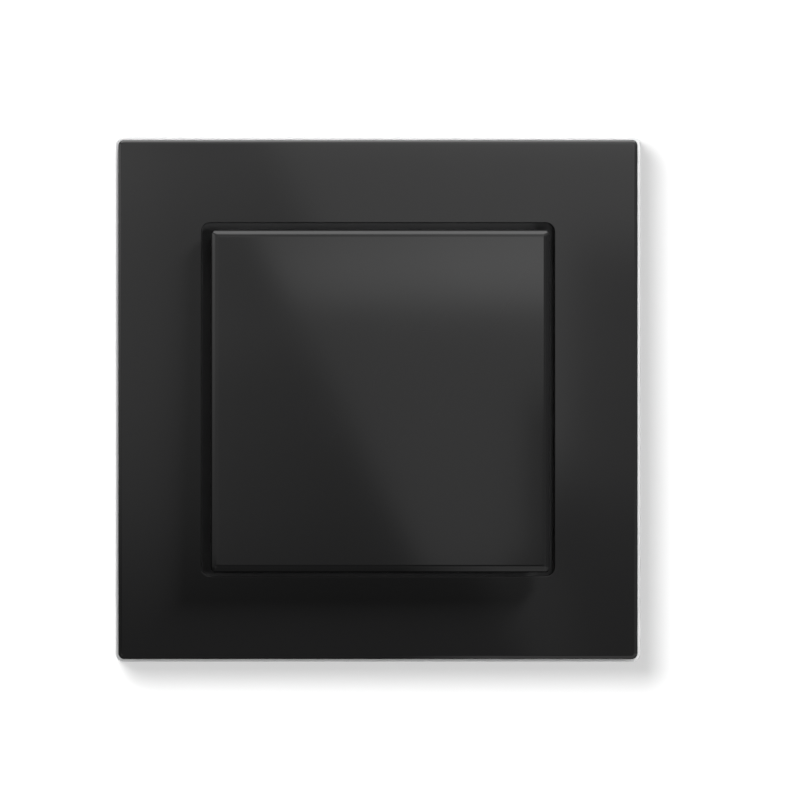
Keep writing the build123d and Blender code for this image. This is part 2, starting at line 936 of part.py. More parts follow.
def make_pole_shoe(plate_near, plate_far, pad_near, pad_far):
    body = slab(2 * shoe_half_width(), shoe_length, plate_near, plate_far, shoe_corner)
    for side in (-1, 1):
        end = side * shoe_length / 2
        low, high = sorted((end, end - side * pad_length))
        body += bar(-pad_width / 2, pad_width / 2, pad_near, pad_far, low, high)
    return body


def make_rear_pole_shoe():
    pad_front = swing_depth - armature_half_height(shoe_length / 2) - pole_clearance
    body = make_pole_shoe(rear_shoe_back, rear_shoe_front, rear_shoe_front, pad_front)
    for side in (-1, 1):
        body -= stud(terminal_hole_radius, rear_shoe_back, rear_shoe_front,
                     side * terminal_x(), terminal_up())
    return body


def make_front_pole_shoe():
    pad_back = swing_depth + armature_half_height(shoe_length / 2) + pole_clearance
    return make_pole_shoe(front_shoe_back, front_shoe_front, pad_back, front_shoe_back)


def make_magnet(side):
    low = bobbin_width / 2 + magnet_gap
    low, high = sorted((side * low, side * (low + magnet_width)))
    return bar(low, high, rear_shoe_front, front_shoe_back, -magnet_length / 2, magnet_length / 2)


def bobbin_hollow():
    half_depth = armature_half_height(bobbin_length / 2) + bobbin_swing_gap
    return armature_width / 2 + bobbin_side_gap, half_depth


def make_coil_bobbin():
    half_x, half_depth = bobbin_hollow()
    half_z = bobbin_length / 2
    tube_x = half_x + bobbin_wall
    tube_depth = half_depth + bobbin_wall
    body = bar(-tube_x, tube_x, swing_depth - tube_depth, swing_depth + tube_depth, -half_z, half_z)
    for side in (-1, 1):
        low, high = sorted((side * half_z, side * (half_z - bobbin_flange)))
        body += bar(-bobbin_width / 2, bobbin_width / 2, rear_shoe_front, front_shoe_back, low, high)
    return body - bar(-half_x, half_x, swing_depth - half_depth, swing_depth + half_depth,
                      -half_z, half_z)


def make_coil_winding():
    half_x, half_depth = bobbin_hollow()
    half_z = bobbin_length / 2 - bobbin_flange
    outer_x = bobbin_width / 2 - winding_inset
    outer_depth = magnet_height / 2 - winding_inset
    body = bar(-outer_x, outer_x, swing_depth - outer_depth, swing_depth + outer_depth,
               -half_z, half_z)
    body = fillet(body.edges().filter_by(Axis.Z), winding_corner)
    inner_x = half_x + bobbin_wall
    inner_depth = half_depth + bobbin_wall
    return body - bar(-inner_x, inner_x, swing_depth - inner_depth, swing_depth + inner_depth,
                      -half_z, half_z)


def make_coil_terminals():
    # Bent pins from the bobbin's upper flange through the rear shoe to the board
    pins = []
    start = bobbin_length / 2
    depth = swing_depth - terminal_rise
    for side in (-1, 1):
        points = [
            (side * terminal_x(), -depth, start),
            (side * terminal_x(), -depth, terminal_up()),
            (side * terminal_x(), -board_back, terminal_up()),
        ]
        path = FilletPolyline(*points, radius=terminal_bend)
        section = Plane(origin=path @ 0, z_dir=path % 0) * Circle(terminal_radius)
        pins.append(sweep(section, path=path))
    return Compound(children=pins)


def make_armature():
    half_z = swing_end_start + armature_grip
    half = armature_thickness / 2
    leaf = bar(-armature_width / 2, armature_width / 2, swing_depth - half, swing_depth + half,
               -half_z, half_z)
    return swung(leaf)


def make_swing_frame():
    outer = swing_half_width()
    inner = outer - swing_bar_width
    near = swing_depth - swing_bar_thickness / 2
    far = swing_depth + swing_bar_thickness / 2
    body = slab(2 * outer, 2 * swing_end, near, far, swing_corner)
    body -= slab(2 * inner, 2 * swing_end_start, near, far)
    half_z = swing_end_start + armature_grip
    half = armature_thickness / 2
    body -= bar(-armature_width / 2, armature_width / 2, swing_depth - half, swing_depth + half,
                -half_z, half_z)
    for side in (-1, 1):
        low, high = sorted((side * outer, side * (outer + trunnion_length)))
        body += rod(trunnion_radius, low, high, swing_depth, 0)
    body += bar(-post_width / 2, post_width / 2, far, post_top - post_radius,
                -press_down - post_radius, -press_down + post_radius)
    body += rod(post_radius, -post_width / 2, post_width / 2, post_top - post_radius, -press_down)
    return swung(body)


def swung(shape):
    return turned(shape, swing_depth, 0, swing_rest)


def leaf_tip_front():
    # The back of the frame's foot at rest, less a hair of clearance
    rest = math.radians(swing_rest)
    low_corner = -(swing_bar_thickness / 2) * math.cos(rest)
    nearest = press_down - leaf_width / 2
    return swing_depth + low_corner - nearest * math.sin(rest) - leaf_gap


def make_return_leaf():
    # Bowed blade, riveted down at its middle, whose two tips press on the frame's foot
    back = floor_top + leaf_boss_height
    rise = leaf_tip_front() - leaf_thickness - back
    outer = (leaf_half_span**2 + rise**2) / (2 * rise)
    inner = outer - leaf_thickness
    low = -press_down - leaf_width / 2
    centre = Plane.XY.offset(low) * Pos(0, -(back + outer))
    blade = extrude(centre * (Circle(outer) - Circle(inner)), amount=leaf_width, dir=(0, 0, 1))
    blade &= bar(-leaf_half_span, leaf_half_span, back, back + outer / 2, low, low + leaf_width)
    return blade - stud(leaf_peg_radius + leaf_hole_gap, back, back + outer / 2, 0, -press_down)


nodes = {
    "wall_plate": make_wall_plate(),
    "adhesive_pads": make_adhesive_pads(),
    "trim_frame": make_trim_frame(),
    "frame_bond": make_frame_bond(),
    "frame_glass": make_frame_glass(),
    "carrier_frame": make_carrier_frame(),
    "hinge_pin_left": make_hinge_pin(-1),
    "hinge_pin_right": make_hinge_pin(1),
    "bumper_left": make_bumper(-1),
    "bumper_right": make_bumper(1),
    "button_spring_left": make_button_spring(-1),
    "button_spring_right": make_button_spring(1),
    "button_tray": leaning(make_button_tray()),
    "button_bond": leaning(make_button_bond()),
    "button_cap": leaning(make_button_cap()),
    "module_base": make_module_base(),
    "module_cover": make_module_cover(),
    "module_screws": make_module_screws(),
    "circuit_board": make_circuit_board(),
    "radio_chip": make_radio_chip(),
    "timing_crystal": make_timing_crystal(),
    "storage_capacitor": make_storage_capacitor(),
    "rectifier_diodes": make_rectifier_diodes(),
    "chip_parts": make_chip_parts(),
    "antenna_wire": make_antenna_wire(),
    "rear_pole_shoe": make_rear_pole_shoe(),
    "front_pole_shoe": make_front_pole_shoe(),
    "magnet_left": make_magnet(-1),
    "magnet_right": make_magnet(1),
    "coil_bobbin": make_coil_bobbin(),
    "coil_winding": make_coil_winding(),
    "coil_terminals": make_coil_terminals(),
    "swing_frame": make_swing_frame(),
    "armature": make_armature(),
    "return_leaf": make_return_leaf(),
}

os.makedirs("parts", exist_ok=True)
for name, shape in nodes.items():
    export_step(shape, f"parts/{name}.step")

print_spring_gap()
print("button hinge at depth", round(hinge_depth, 4), "height", round(hinge_up, 4))
print("swing axis at depth", round(swing_depth, 4), "rest angle", round(swing_rest, 4))
print("swing travel", round(swing_travel, 4), "ratio", round(swing_ratio, 5))
print("opening", round(2 * opening_half, 3), "plate", round(2 * glass_half, 3))
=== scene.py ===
import bmesh
import bpy
import json
import math
from mathutils import Matrix, Vector


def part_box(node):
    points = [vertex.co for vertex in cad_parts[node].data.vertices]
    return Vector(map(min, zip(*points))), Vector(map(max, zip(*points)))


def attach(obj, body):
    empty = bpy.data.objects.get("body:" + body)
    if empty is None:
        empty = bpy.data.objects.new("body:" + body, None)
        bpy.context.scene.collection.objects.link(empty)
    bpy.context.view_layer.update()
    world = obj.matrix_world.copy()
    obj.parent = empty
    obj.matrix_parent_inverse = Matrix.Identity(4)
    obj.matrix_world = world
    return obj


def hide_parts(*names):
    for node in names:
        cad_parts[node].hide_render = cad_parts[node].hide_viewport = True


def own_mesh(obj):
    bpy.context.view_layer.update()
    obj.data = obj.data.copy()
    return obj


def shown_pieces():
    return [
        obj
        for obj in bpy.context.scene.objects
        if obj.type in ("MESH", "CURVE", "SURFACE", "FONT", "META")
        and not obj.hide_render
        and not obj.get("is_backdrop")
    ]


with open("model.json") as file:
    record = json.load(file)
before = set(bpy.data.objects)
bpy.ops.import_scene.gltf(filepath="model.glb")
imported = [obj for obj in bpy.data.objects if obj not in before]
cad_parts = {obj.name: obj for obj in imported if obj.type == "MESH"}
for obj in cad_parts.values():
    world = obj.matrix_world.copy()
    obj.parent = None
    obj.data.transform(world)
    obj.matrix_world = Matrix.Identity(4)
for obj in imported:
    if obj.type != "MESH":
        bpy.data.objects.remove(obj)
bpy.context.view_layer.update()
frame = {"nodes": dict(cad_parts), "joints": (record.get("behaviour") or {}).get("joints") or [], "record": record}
nodes = frame["nodes"]
slotOf = {part["node"]: part["material_slot"] for part in frame["record"]["subparts"]}
mm = 0.001

# Camera, square on to the wall as in the photograph. Its pixels say where the plate lies.
photo = {"size": 800, "plateLeft": 118.35, "plateRight": 637.6, "plateTop": 139.5,
         "plateBottom": 659.4}
plateLow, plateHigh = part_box("frame_glass")
pixel = (plateHigh.x - plateLow.x) / (photo["plateRight"] - photo["plateLeft"])


def aimCamera(distance=0.5):
    lens = bpy.data.cameras.new("camera")
    lens.type = "ORTHO"
    lens.ortho_scale = photo["size"] * pixel
    camera = bpy.data.objects.new("camera", lens)
    right = photo["size"] / 2 - (photo["plateLeft"] + photo["plateRight"]) / 2
    down = photo["size"] / 2 - (photo["plateTop"] + photo["plateBottom"]) / 2
    middle = (plateLow + plateHigh) / 2
    camera.location = (middle.x + right * pixel, -distance, middle.z - down * pixel)
    camera.rotation_euler = (math.pi / 2, 0, 0)
    bpy.context.scene.collection.objects.link(camera)
    bpy.context.scene.camera = camera


aimCamera()
print("camera aimed")


# Helpers for node trees, used by the finishes and by the shapes


def newTree(name, kind, inputs, outputs):
    tree = bpy.data.node_groups.new(name, kind)
    for side, sockets in (("INPUT", inputs), ("OUTPUT", outputs)):
        for label, (socketType, value) in sockets.items():
            socket = tree.interface.new_socket(label, in_out=side,
                                               socket_type="NodeSocket" + socketType)
            if value is not None:
                socket.default_value = value
    given, out = tree.nodes.new("NodeGroupInput"), tree.nodes.new("NodeGroupOutput")
    return tree, given.outputs, out.inputs


def put(tree, kind, inputs=None, **settings):
    # adds a node; each input is given a value or another node's output
    node = tree.nodes.new(kind)
    for key, value in settings.items():
        setattr(node, key, value)
    for key, value in (inputs or {}).items():
        if isinstance(value, bpy.types.NodeSocket):
            tree.links.new(value, node.inputs[key])
        else:
            node.inputs[key].default_value = value
    return node


def work(tree, operation, *values):
    return put(tree, "ShaderNodeMath", dict(enumerate(values)), operation=operation).outputs[0]


def span(tree, value, start, end, low=0.0, high=1.0, curve="LINEAR"):
    # a value carried from one range to another, clamped
    inputs = {"Value": value, "From Min": start, "From Max": end, "To Min": low, "To Max": high}
    return put(tree, "ShaderNodeMapRange", inputs, interpolation_type=curve).outputs["Result"]


def mixed(tree, factor, without, full):
    # a value between two others
    return put(tree, "ShaderNodeMix", {0: factor, 2: without, 3: full}).outputs[0]


def tone(tree, factor, dark, light):
    mix = put(tree, "ShaderNodeMix", {0: factor}, data_type="RGBA")
    mix.inputs[6].default_value = (*dark, 1)
    mix.inputs[7].default_value = (*light, 1)
    return mix.outputs[2]


def objectPlace(tree):
    return put(tree, "ShaderNodeTexCoord").outputs["Object"]


def noise(tree, place, size, detail):
    # soft noise whose patches have a size in metres
    scale = work(tree, "DIVIDE", 1.0, size)
    inputs = {"Vector": place, "Scale": scale, "Detail": detail}
    return put(tree, "ShaderNodeTexNoise", inputs).outputs["Fac"]


# Shader groups shared by the finishes
marks = {
    "grainDetail": 3.0, "flowDetail": 2.0, "dustDetail": 4.0, "lineDetail": 4.0,
    "dustPatches": (0.4, 0.75), "patchShare": 0.6, "dustSpecks": (0.25, 0.08), "speckShare": 0.4,
    "lineTones": (0.3, 0.7),
}


def makeMouldGrain(s):
    # spark-eroded texture of a moulding tool, with the slow flow marks of the plastic
    tree, given, out = newTree(
        "mouldGrain", "ShaderNodeTree",
        {"Grain Size": ("Float", 0.0002), "Flow Size": ("Float", 0.02)},
        {"Height": ("Float", None), "Flow": ("Float", None)},
    )
    place = objectPlace(tree)
    tree.links.new(noise(tree, place, given["Grain Size"], s["grainDetail"]), out["Height"])
    tree.links.new(noise(tree, place, given["Flow Size"], s["flowDetail"]), out["Flow"])
    return tree


def makeHandlingDust(s):
    # patches of fine dust and wiping marks, as a mask
    tree, given, out = newTree(
        "handlingDust", "ShaderNodeTree",
        {"Patch Size": ("Float", 0.02), "Speck Size": ("Float", 0.0005), "Amount": ("Float", 0.3)},
        {"Mask": ("Float", None)},
    )
    place = objectPlace(tree)
    patch = noise(tree, place, given["Patch Size"], s["dustDetail"])
    speckScale = work(tree, "DIVIDE", 1.0, given["Speck Size"])
    speck = put(tree, "ShaderNodeTexVoronoi", {"Vector": place, "Scale": speckScale})
    patches = span(tree, patch, *s["dustPatches"], curve="SMOOTHSTEP")
    specks = span(tree, speck.outputs["Distance"], *s["dustSpecks"])
    patches = work(tree, "MULTIPLY", patches, s["patchShare"])
    both = work(tree, "ADD", patches, work(tree, "MULTIPLY", specks, s["speckShare"]))
    tree.links.new(work(tree, "MULTIPLY", both, given["Amount"]), out["Mask"])
    return tree


def makeDrawnLines(s):
    # lines left by rolling, drawing or brushing along one direction
    tree, given, out = newTree(
        "drawnLines", "ShaderNodeTree",
        {"Stretch": ("Vector", (1.0, 1.0, 1.0)), "Line Size": ("Float", 0.00015)},
        {"Height": ("Float", None), "Tone": ("Float", None)},
    )
    pulled = put(tree, "ShaderNodeVectorMath", {0: objectPlace(tree), 1: given["Stretch"]},
                 operation="MULTIPLY").outputs[0]
    lines = noise(tree, pulled, given["Line Size"], s["lineDetail"])
    tree.links.new(lines, out["Height"])
    tree.links.new(span(tree, lines, *s["lineTones"]), out["Tone"])
    return tree


mouldGrain = makeMouldGrain(marks)
handlingDust = makeHandlingDust(marks)
drawnLines = makeDrawnLines(marks)


# Finishes


def newFinish(name, **plain):
    # a material with its shader; the plain values go straight on the shader's own sockets
    finish = bpy.data.materials.new(name)
    finish.use_nodes = True
    shader = finish.node_tree.nodes["Principled BSDF"]
    for label, value in plain.items():
        shader.inputs[label.replace("_", " ")].default_value = value
    return finish, finish.node_tree, shader


def useGroup(tree, group, **values):
    inputs = {label.replace("_", " "): value for label, value in values.items()}
    return put(tree, "ShaderNodeGroup", inputs, node_tree=group).outputs


def addDust(tree, s):
    return useGroup(tree, handlingDust, Patch_Size=s["patchSize"], Speck_Size=s["speckSize"],
                    Amount=s["dust"])["Mask"]


def addColour(tree, shader, factor, dark, light):
    tree.links.new(tone(tree, factor, dark, light), shader.inputs["Base Color"])


def addRoughness(tree, shader, factor, start, end):
    tree.links.new(span(tree, factor, 0.0, 1.0, start, end), shader.inputs["Roughness"])


def addRelief(tree, shader, height, depth, strength):
    inputs = {"Height": height, "Distance": depth, "Strength": strength}
    bump = put(tree, "ShaderNodeBump", inputs).outputs["Normal"]
    tree.links.new(bump, shader.inputs["Normal"])


glossLook = {"gloss": 0.05, "dust": 0.25, "patchSize": 0.03, "speckSize": 0.0007,
             "flowSize": 0.03, "peelSize": 0.004, "peelHeight": 0.00001, "peel": 0.02}
plateLook = {**glossLook, "dark": (0.0175, 0.0175, 0.0178), "light": (0.0185, 0.0185, 0.0188),
             "ior": 1.5, "dull": 0.16}
# the push plate's copy of the same gloss black is darker: painted shade on the push plate
capShadedLook = {**glossLook, "dark": (0.0112, 0.0112, 0.0114), "light": (0.0118, 0.0118, 0.012),
           "ior": 1.45, "dull": 0.14}


def lacquered(name, s):
    # deep gloss lacquer: a hint of orange peel, and dust that only dulls it a little
    finish, tree, shader = newFinish(name, IOR=s["ior"])
    grain = useGroup(tree, mouldGrain, Grain_Size=s["peelSize"], Flow_Size=s["flowSize"])
    addColour(tree, shader, grain["Flow"], s["dark"], s["light"])
    addRoughness(tree, shader, addDust(tree, s), s["gloss"], s["dull"])
    addRelief(tree, shader, grain["Height"], s["peelHeight"], s["peel"])
    return finish


mouldedLook = {"flowSize": 0.012, "dust": 0.35, "patchSize": 0.015, "speckSize": 0.0006,
               "dulled": 0.3, "relief": 0.6}


def moulded(name, dark, light, rough, grainSize=0.00025, height=0.00002, s=mouldedLook):
    # matt injection-moulded plastic with a fine tool texture
    finish, tree, shader = newFinish(name)
    grain = useGroup(tree, mouldGrain, Grain_Size=grainSize, Flow_Size=s["flowSize"])
    addColour(tree, shader, grain["Flow"], dark, light)
    addRoughness(tree, shader, addDust(tree, s), rough, rough + s["dulled"])
    addRelief(tree, shader, grain["Height"], height, s["relief"])
    return finish


drawnLook = {"lineSize": 0.00012, "lineHeight": 0.00001, "duller": 0.12, "relief": 0.5}


def drawnMetal(name, dark, light, stretch, rough, s=drawnLook):
    # metal with the lines of its making along one direction
    finish, tree, shader = newFinish(name, Metallic=1.0)
    lines = useGroup(tree, drawnLines, Stretch=stretch, Line_Size=s["lineSize"])
    addColour(tree, shader, lines["Tone"], dark, light)
    addRoughness(tree, shader, lines["Tone"], rough + s["duller"], rough)
    addRelief(tree, shader, lines["Height"], s["lineHeight"], s["relief"])
    return finish


boardLook = {
    "trackCells": 260.0, "trackStep": 0.16, "trackEdge": (0.05, 0.08), "trackHeight": 0.00003,
    "holeCells": 190.0, "holeEdge": (0.14, 0.1), "maskDark": (0.01, 0.09, 0.04),
    "maskLight": (0.02, 0.19, 0.08), "plating": (0.55, 0.5, 0.36), "maskRough": 0.38,
    "platingRough": 0.25, "relief": 0.7,
}


def boardLaminate(name, s):
    # green solder mask over copper tracks, with plated holes
    finish, tree, shader = newFinish(name)
    flat = put(tree, "ShaderNodeVectorMath", {0: objectPlace(tree), 1: (1, 0, 1)},
               operation="MULTIPLY").outputs[0]
    cells = put(tree, "ShaderNodeTexVoronoi", {"Vector": flat, "Scale": s["trackCells"]},
                distance="CHEBYCHEV")
    holes = put(tree, "ShaderNodeTexVoronoi", {"Vector": flat, "Scale": s["holeCells"]})
    stepped = work(tree, "PINGPONG", cells.outputs["Distance"], s["trackStep"])
    tracks = span(tree, stepped, *s["trackEdge"])
    rings = span(tree, holes.outputs["Distance"], *s["holeEdge"])
    masked = tone(tree, tracks, s["maskDark"], s["maskLight"])
    plated = put(tree, "ShaderNodeMix", {0: rings, 6: masked}, data_type="RGBA")
    plated.inputs[7].default_value = (*s["plating"], 1)
    tree.links.new(plated.outputs[2], shader.inputs["Base Color"])
    addRoughness(tree, shader, rings, s["maskRough"], s["platingRough"])
    addRelief(tree, shader, tracks, s["trackHeight"], s["relief"])
    return finish


foamLook = {"cells": 3600.0, "cellEdge": (0.1, 0.6), "dark": (0.6, 0.59, 0.56),
            "light": (0.66, 0.65, 0.62), "rough": (0.75, 0.55), "height": 0.00001, "relief": 0.3}


def foamPad(name, s):
    # white closed-cell foam tape under its smooth film
    finish, tree, shader = newFinish(name)
    cells = put(tree, "ShaderNodeTexVoronoi", {"Vector": objectPlace(tree), "Scale": s["cells"]})
    deep = span(tree, cells.outputs["Distance"], *s["cellEdge"])
    addColour(tree, shader, deep, s["dark"], s["light"])
    addRoughness(tree, shader, deep, *s["rough"])
    addRelief(tree, shader, deep, s["height"], s["relief"])
    return finish


# in turn: dark tone, light tone, stretch of a metal's lines, roughness, grain size and height
finishes = {
    "gloss_black": lacquered("plateLacquer", plateLook),
    "trim_silver": moulded("satinTrim", (0.7, 0.7, 0.705), (0.74, 0.74, 0.745), 0.34,
                           0.0002, 0.000006),
    "bond_film": moulded("bondFilm", (0.05, 0.05, 0.05), (0.07, 0.07, 0.07), 0.4),
    "pad_foam": foamPad("padFoam", foamLook),
    "black_plastic": moulded("blackPlastic", (0.02, 0.02, 0.0205), (0.026, 0.026, 0.0265), 0.45),
    "grey_plastic": moulded("greyPlastic", (0.44, 0.45, 0.45), (0.52, 0.53, 0.53), 0.52),
    "case_plastic": moulded("casePlastic", (0.17, 0.18, 0.19), (0.22, 0.23, 0.24), 0.48),
    "swing_plastic": moulded("swingPlastic", (0.7, 0.68, 0.62), (0.8, 0.78, 0.72), 0.36),
    "bobbin_plastic": moulded("bobbinPlastic", (0.04, 0.04, 0.044), (0.06, 0.06, 0.066), 0.55),
    "rubber": moulded("stopRubber", (0.028, 0.028, 0.029), (0.04, 0.04, 0.041), 0.78,
                      0.0004, 0.00004),
    "pin_steel": drawnMetal("pinSteel", (0.55, 0.55, 0.56), (0.7, 0.7, 0.71),
                            (1, 0.05, 0.05), 0.18),
    "screw_steel": drawnMetal("screwSteel", (0.42, 0.43, 0.45), (0.6, 0.61, 0.63),
                              (1, 0.3, 1), 0.3),
    "spring_steel": drawnMetal("springSteel", (0.42, 0.42, 0.43), (0.62, 0.62, 0.63),
                               (1, 1, 1), 0.22),
    "soft_iron": drawnMetal("softIron", (0.32, 0.32, 0.33), (0.46, 0.46, 0.47),
                            (1, 1, 0.08), 0.38),
    "magnet_nickel": drawnMetal("magnetNickel", (0.6, 0.59, 0.56), (0.68, 0.67, 0.64),
                                (1, 1, 1), 0.16),
    "copper_wire": drawnMetal("copperWire", (0.55, 0.2, 0.07), (0.78, 0.36, 0.17),
                              (1, 1, 1), 0.22),
    "tinned_brass": drawnMetal("tinnedBrass", (0.6, 0.58, 0.53), (0.72, 0.7, 0.66),
                               (1, 1, 1), 0.28),
    "board_laminate": boardLaminate("boardLaminate", boardLook),
    "chip_resin": moulded("chipResin", (0.024, 0.024, 0.026), (0.036, 0.036, 0.038), 0.42,
                          0.0001),
    "can_metal": drawnMetal("canMetal", (0.62, 0.62, 0.63), (0.74, 0.74, 0.75),
                            (1, 1, 0.1), 0.26),
    "chip_ceramic": moulded("chipCeramic", (0.36, 0.25, 0.14), (0.5, 0.38, 0.24), 0.5, 0.0001),
}
# the push plate's darker copy of the gloss black, painted shade
capFinish = lacquered("capLacquerShaded", capShadedLook)
for name, node in nodes.items():
    node.data.materials.clear()
    node.data.materials.append(finishes[slotOf[name]])
print("finishes made:", len(finishes) + 1)


# Helpers for meshes


def newPiece(name, mesh, finish, body, slotName, *replaced):
    piece = bpy.data.objects.new(name, mesh)
    bpy.context.scene.collection.objects.link(piece)
    if finish is not None:
        mesh.materials.clear()
        mesh.materials.append(finish)
    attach(piece, body)
    if replaced:
        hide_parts(*replaced)
    return piece


def squareLoop(halfX, halfZ, corner, depth, middle=(0.0, 0.0), steps=10, along=1):
    # rounded square parallel to the wall, each side cut into equal lengths
    arcs = []
    for quarter, (signX, signZ) in enumerate(((1, 1), (-1, 1), (-1, -1), (1, -1))):
        arcs.append([])
        for step in range(steps + 1):
            turn = (quarter + step / steps) * math.pi / 2
            x = signX * (halfX - corner) + corner * math.cos(turn)
            z = signZ * (halfZ - corner) + corner * math.sin(turn)
            arcs[-1].append(Vector((middle[0] + x, -depth, middle[1] + z)))
    points = []
    for arc, following in zip(arcs, arcs[1:] + arcs[:1]):
        points += arc + [arc[-1].lerp(following[0], i / along) for i in range(1, along)]
    return points


def skinLoops(name, loops, ring=False):
    # bridges equal loops in turn; the ends are closed, or joined to each other for a ring
    shape = bmesh.new()
    rows = [[shape.verts.new(point) for point in loop] for loop in loops]
    pairs = list(zip(rows, rows[1:])) + ([(rows[-1], rows[0])] if ring else [])
    for low, high in pairs:
        for i in range(len(low)):
            j = (i + 1) % len(low)
            shape.faces.new((low[i], low[j], high[j], high[i]))
    if not ring:
        shape.faces.new(rows[0][::-1])
        shape.faces.new(rows[-1])
    bmesh.ops.recalc_face_normals(shape, faces=shape.faces)
    for face in shape.faces:
        face.smooth = True
    mesh = bpy.data.meshes.new(name)
    shape.to_mesh(mesh)
    shape.free()
    return mesh


def roundOver(radius, corner, steps=10, tighten=0.6, least=0.3):
    # (inset, drop, corner) up an edge rounding, from its wall to the face; the outline's
    # corner tightens with the inset, down to its least share
    places = []
    for step in range(steps + 1):
        turn = step / steps * math.pi / 2
        inset, drop = radius * (1 - math.cos(turn)), radius * (1 - math.sin(turn))
        places.append((inset, drop, max(corner - inset * tighten, corner * least)))
    return places


# Gloss plate: a square ring with a soft outer edge and a tight inner one
plateShape = {"outerCorner": 0.9 * mm, "outerRound": 0.6 * mm, "innerCorner": 1.4 * mm,
              "innerRound": 0.12 * mm, "holdIn": 0.03 * mm, "wallFacing": 0.999}


def makeGlossPlate(s):
    half = (plateHigh.x - plateLow.x) / 2
    back, face = -plateHigh.y, -plateLow.y
    walls = [wall.center.x for wall in nodes["frame_glass"].data.polygons
             if wall.normal.x > s["wallFacing"] and wall.center.x < 0]
    opening = -max(walls)
    foot = face - s["outerRound"] - s["holdIn"]
    loops = [squareLoop(half, half, s["outerCorner"], depth) for depth in (back, foot)]
    for inset, drop, corner in roundOver(s["outerRound"], s["outerCorner"]):
        loops.append(squareLoop(half - inset, half - inset, corner, face - drop))
    flat = half - inset - s["holdIn"]
    loops.append(squareLoop(flat, flat, corner, face))
    flat = opening + s["innerRound"] + s["holdIn"]
    loops.append(squareLoop(flat, flat, s["innerCorner"] + s["innerRound"], face))
    for inset, drop, corner in reversed(roundOver(s["innerRound"], s["innerCorner"])):
        wide = opening + inset
        loops.append(squareLoop(wide, wide, s["innerCorner"] + inset, face - drop))
    loops.append(squareLoop(opening, opening, s["innerCorner"], back))
    return skinLoops("glossPlate", loops, ring=True)


newPiece("glossPlate", makeGlossPlate(plateShape), finishes["gloss_black"], "root", "gloss_black",
         "frame_glass")
print("gloss plate made")

# Push plate: a slightly crowned cap that leans out at its foot
capShape = {"corner": 0.7 * mm, "round": 1.15 * mm, "roundSteps": 14, "backRound": 0.12 * mm,
            "crown": 0.08 * mm, "rings": 26, "cuts": 26, "holdIn": 0.04 * mm, "frontFacing": 0.99}
pressJoint = next(joint for joint in frame["joints"] if joint["name"] == "button_press")
hinge = Vector(pressJoint["pos_m"])


def leanOf(node, facing):
    # how far the node's front face leans out of upright
    normal = Vector()
    for face in nodes[node].data.polygons:
        if face.normal.y < -facing:
            normal += face.normal * face.area
    return math.atan2(normal.z, -normal.y)


def turnedBy(angle):
    turn = Matrix.Rotation(angle, 4, "X")
    return Matrix.Translation(hinge) @ turn @ Matrix.Translation(-hinge)


def makePushPlate(s):
    lean = leanOf("button_cap", s["frontFacing"])
    upright = [turnedBy(lean) @ v.co for v in nodes["button_cap"].data.vertices]
    low = Vector([min(p[i] for p in upright) for i in range(3)])
    high = Vector([max(p[i] for p in upright) for i in range(3)])
    middle = ((low.x + high.x) / 2, (low.z + high.z) / 2)
    halfX, halfZ = (high.x - low.x) / 2, (high.z - low.z) / 2
    back, face = -high.y, -low.y

    def loopAt(inset, corner, depth, share=1.0):
        return squareLoop((halfX - inset) * share, (halfZ - inset) * share, corner * share, depth,
                          middle, along=s["cuts"])

    loops = [loopAt(s["backRound"], s["corner"], back),
             loopAt(0, s["corner"], back + s["backRound"])]
    for inset, drop, corner in roundOver(s["round"], s["corner"], s["roundSteps"]):
        loops.append(loopAt(inset, corner, face - drop))
    loops.append(loopAt(inset + s["holdIn"], corner, face))
    for ring in range(1, s["rings"]):
        loops.append(loopAt(inset, corner, face, 1 - ring / s["rings"]))
    reach = min(halfX, halfZ)
    for loop in loops[2:]:
        for point in loop:
            aside = Vector((point.x - middle[0], point.z - middle[1]))
            point.y -= s["crown"] * (1 - aside.length_squared / reach**2)
    mesh = skinLoops("pushPlate", loops)
    mesh.transform(turnedBy(-lean))
    return mesh


newPiece("pushPlate", makePushPlate(capShape), capFinish, "button", "gloss_black", "button_cap")
print("push plate made")


# Moulded, stamped and turned parts: the solid's own form with its edges broken
softening = {"mergeWithin": 0.000002, "flatWithin": 1, "sharpFrom": 40, "segments": 2}    # degrees
softened = {
    "root": {"trim_frame": 0.1, "wall_plate": 0.12, "adhesive_pads": 0.08, "carrier_frame": 0.1,
             "bumper_left": 0.08, "bumper_right": 0.08, "hinge_pin_left": 0.05,
             "hinge_pin_right": 0.05, "module_base": 0.08, "module_cover": 0.08,
             "module_screws": 0.03, "circuit_board": 0.03, "radio_chip": 0.03,
             "timing_crystal": 0.04, "storage_capacitor": 0.04, "rear_pole_shoe": 0.05,
             "front_pole_shoe": 0.05, "magnet_left": 0.06, "magnet_right": 0.06,
             "coil_bobbin": 0.05, "coil_terminals": 0.03, "chip_parts": 0.03,
             "rectifier_diodes": 0.06},
    "button": {"button_tray": 0.1},
    "swing": {"swing_frame": 0.06, "armature": 0.05},
}


def mergedShape(node):
    shape = bmesh.new()
    shape.from_mesh(nodes[node].data)
    bmesh.ops.remove_doubles(shape, verts=shape.verts, dist=softening["mergeWithin"])
    return shape


def makeSoftened(node, width, s=softening):
    shape = mergedShape(node)
    bmesh.ops.dissolve_limit(shape, angle_limit=math.radians(s["flatWithin"]), verts=shape.verts,
                             edges=shape.edges)
    mesh = bpy.data.meshes.new(node)
    shape.to_mesh(mesh)
    shape.free()
    holder = bpy.data.objects.new("holder", mesh)
    bpy.context.scene.collection.objects.link(holder)
    bevel = holder.modifiers.new("edges", "BEVEL")
    bevel.width = width
    bevel.segments = s["segments"]
    bevel.limit_method = "ANGLE"
    bevel.angle_limit = math.radians(s["sharpFrom"])
    bevel.use_clamp_overlap = True
    bevel.harden_normals = True
    graph = bpy.context.evaluated_depsgraph_get()
    done = bpy.data.meshes.new_from_object(holder.evaluated_get(graph))
    bpy.data.objects.remove(holder)
    return done


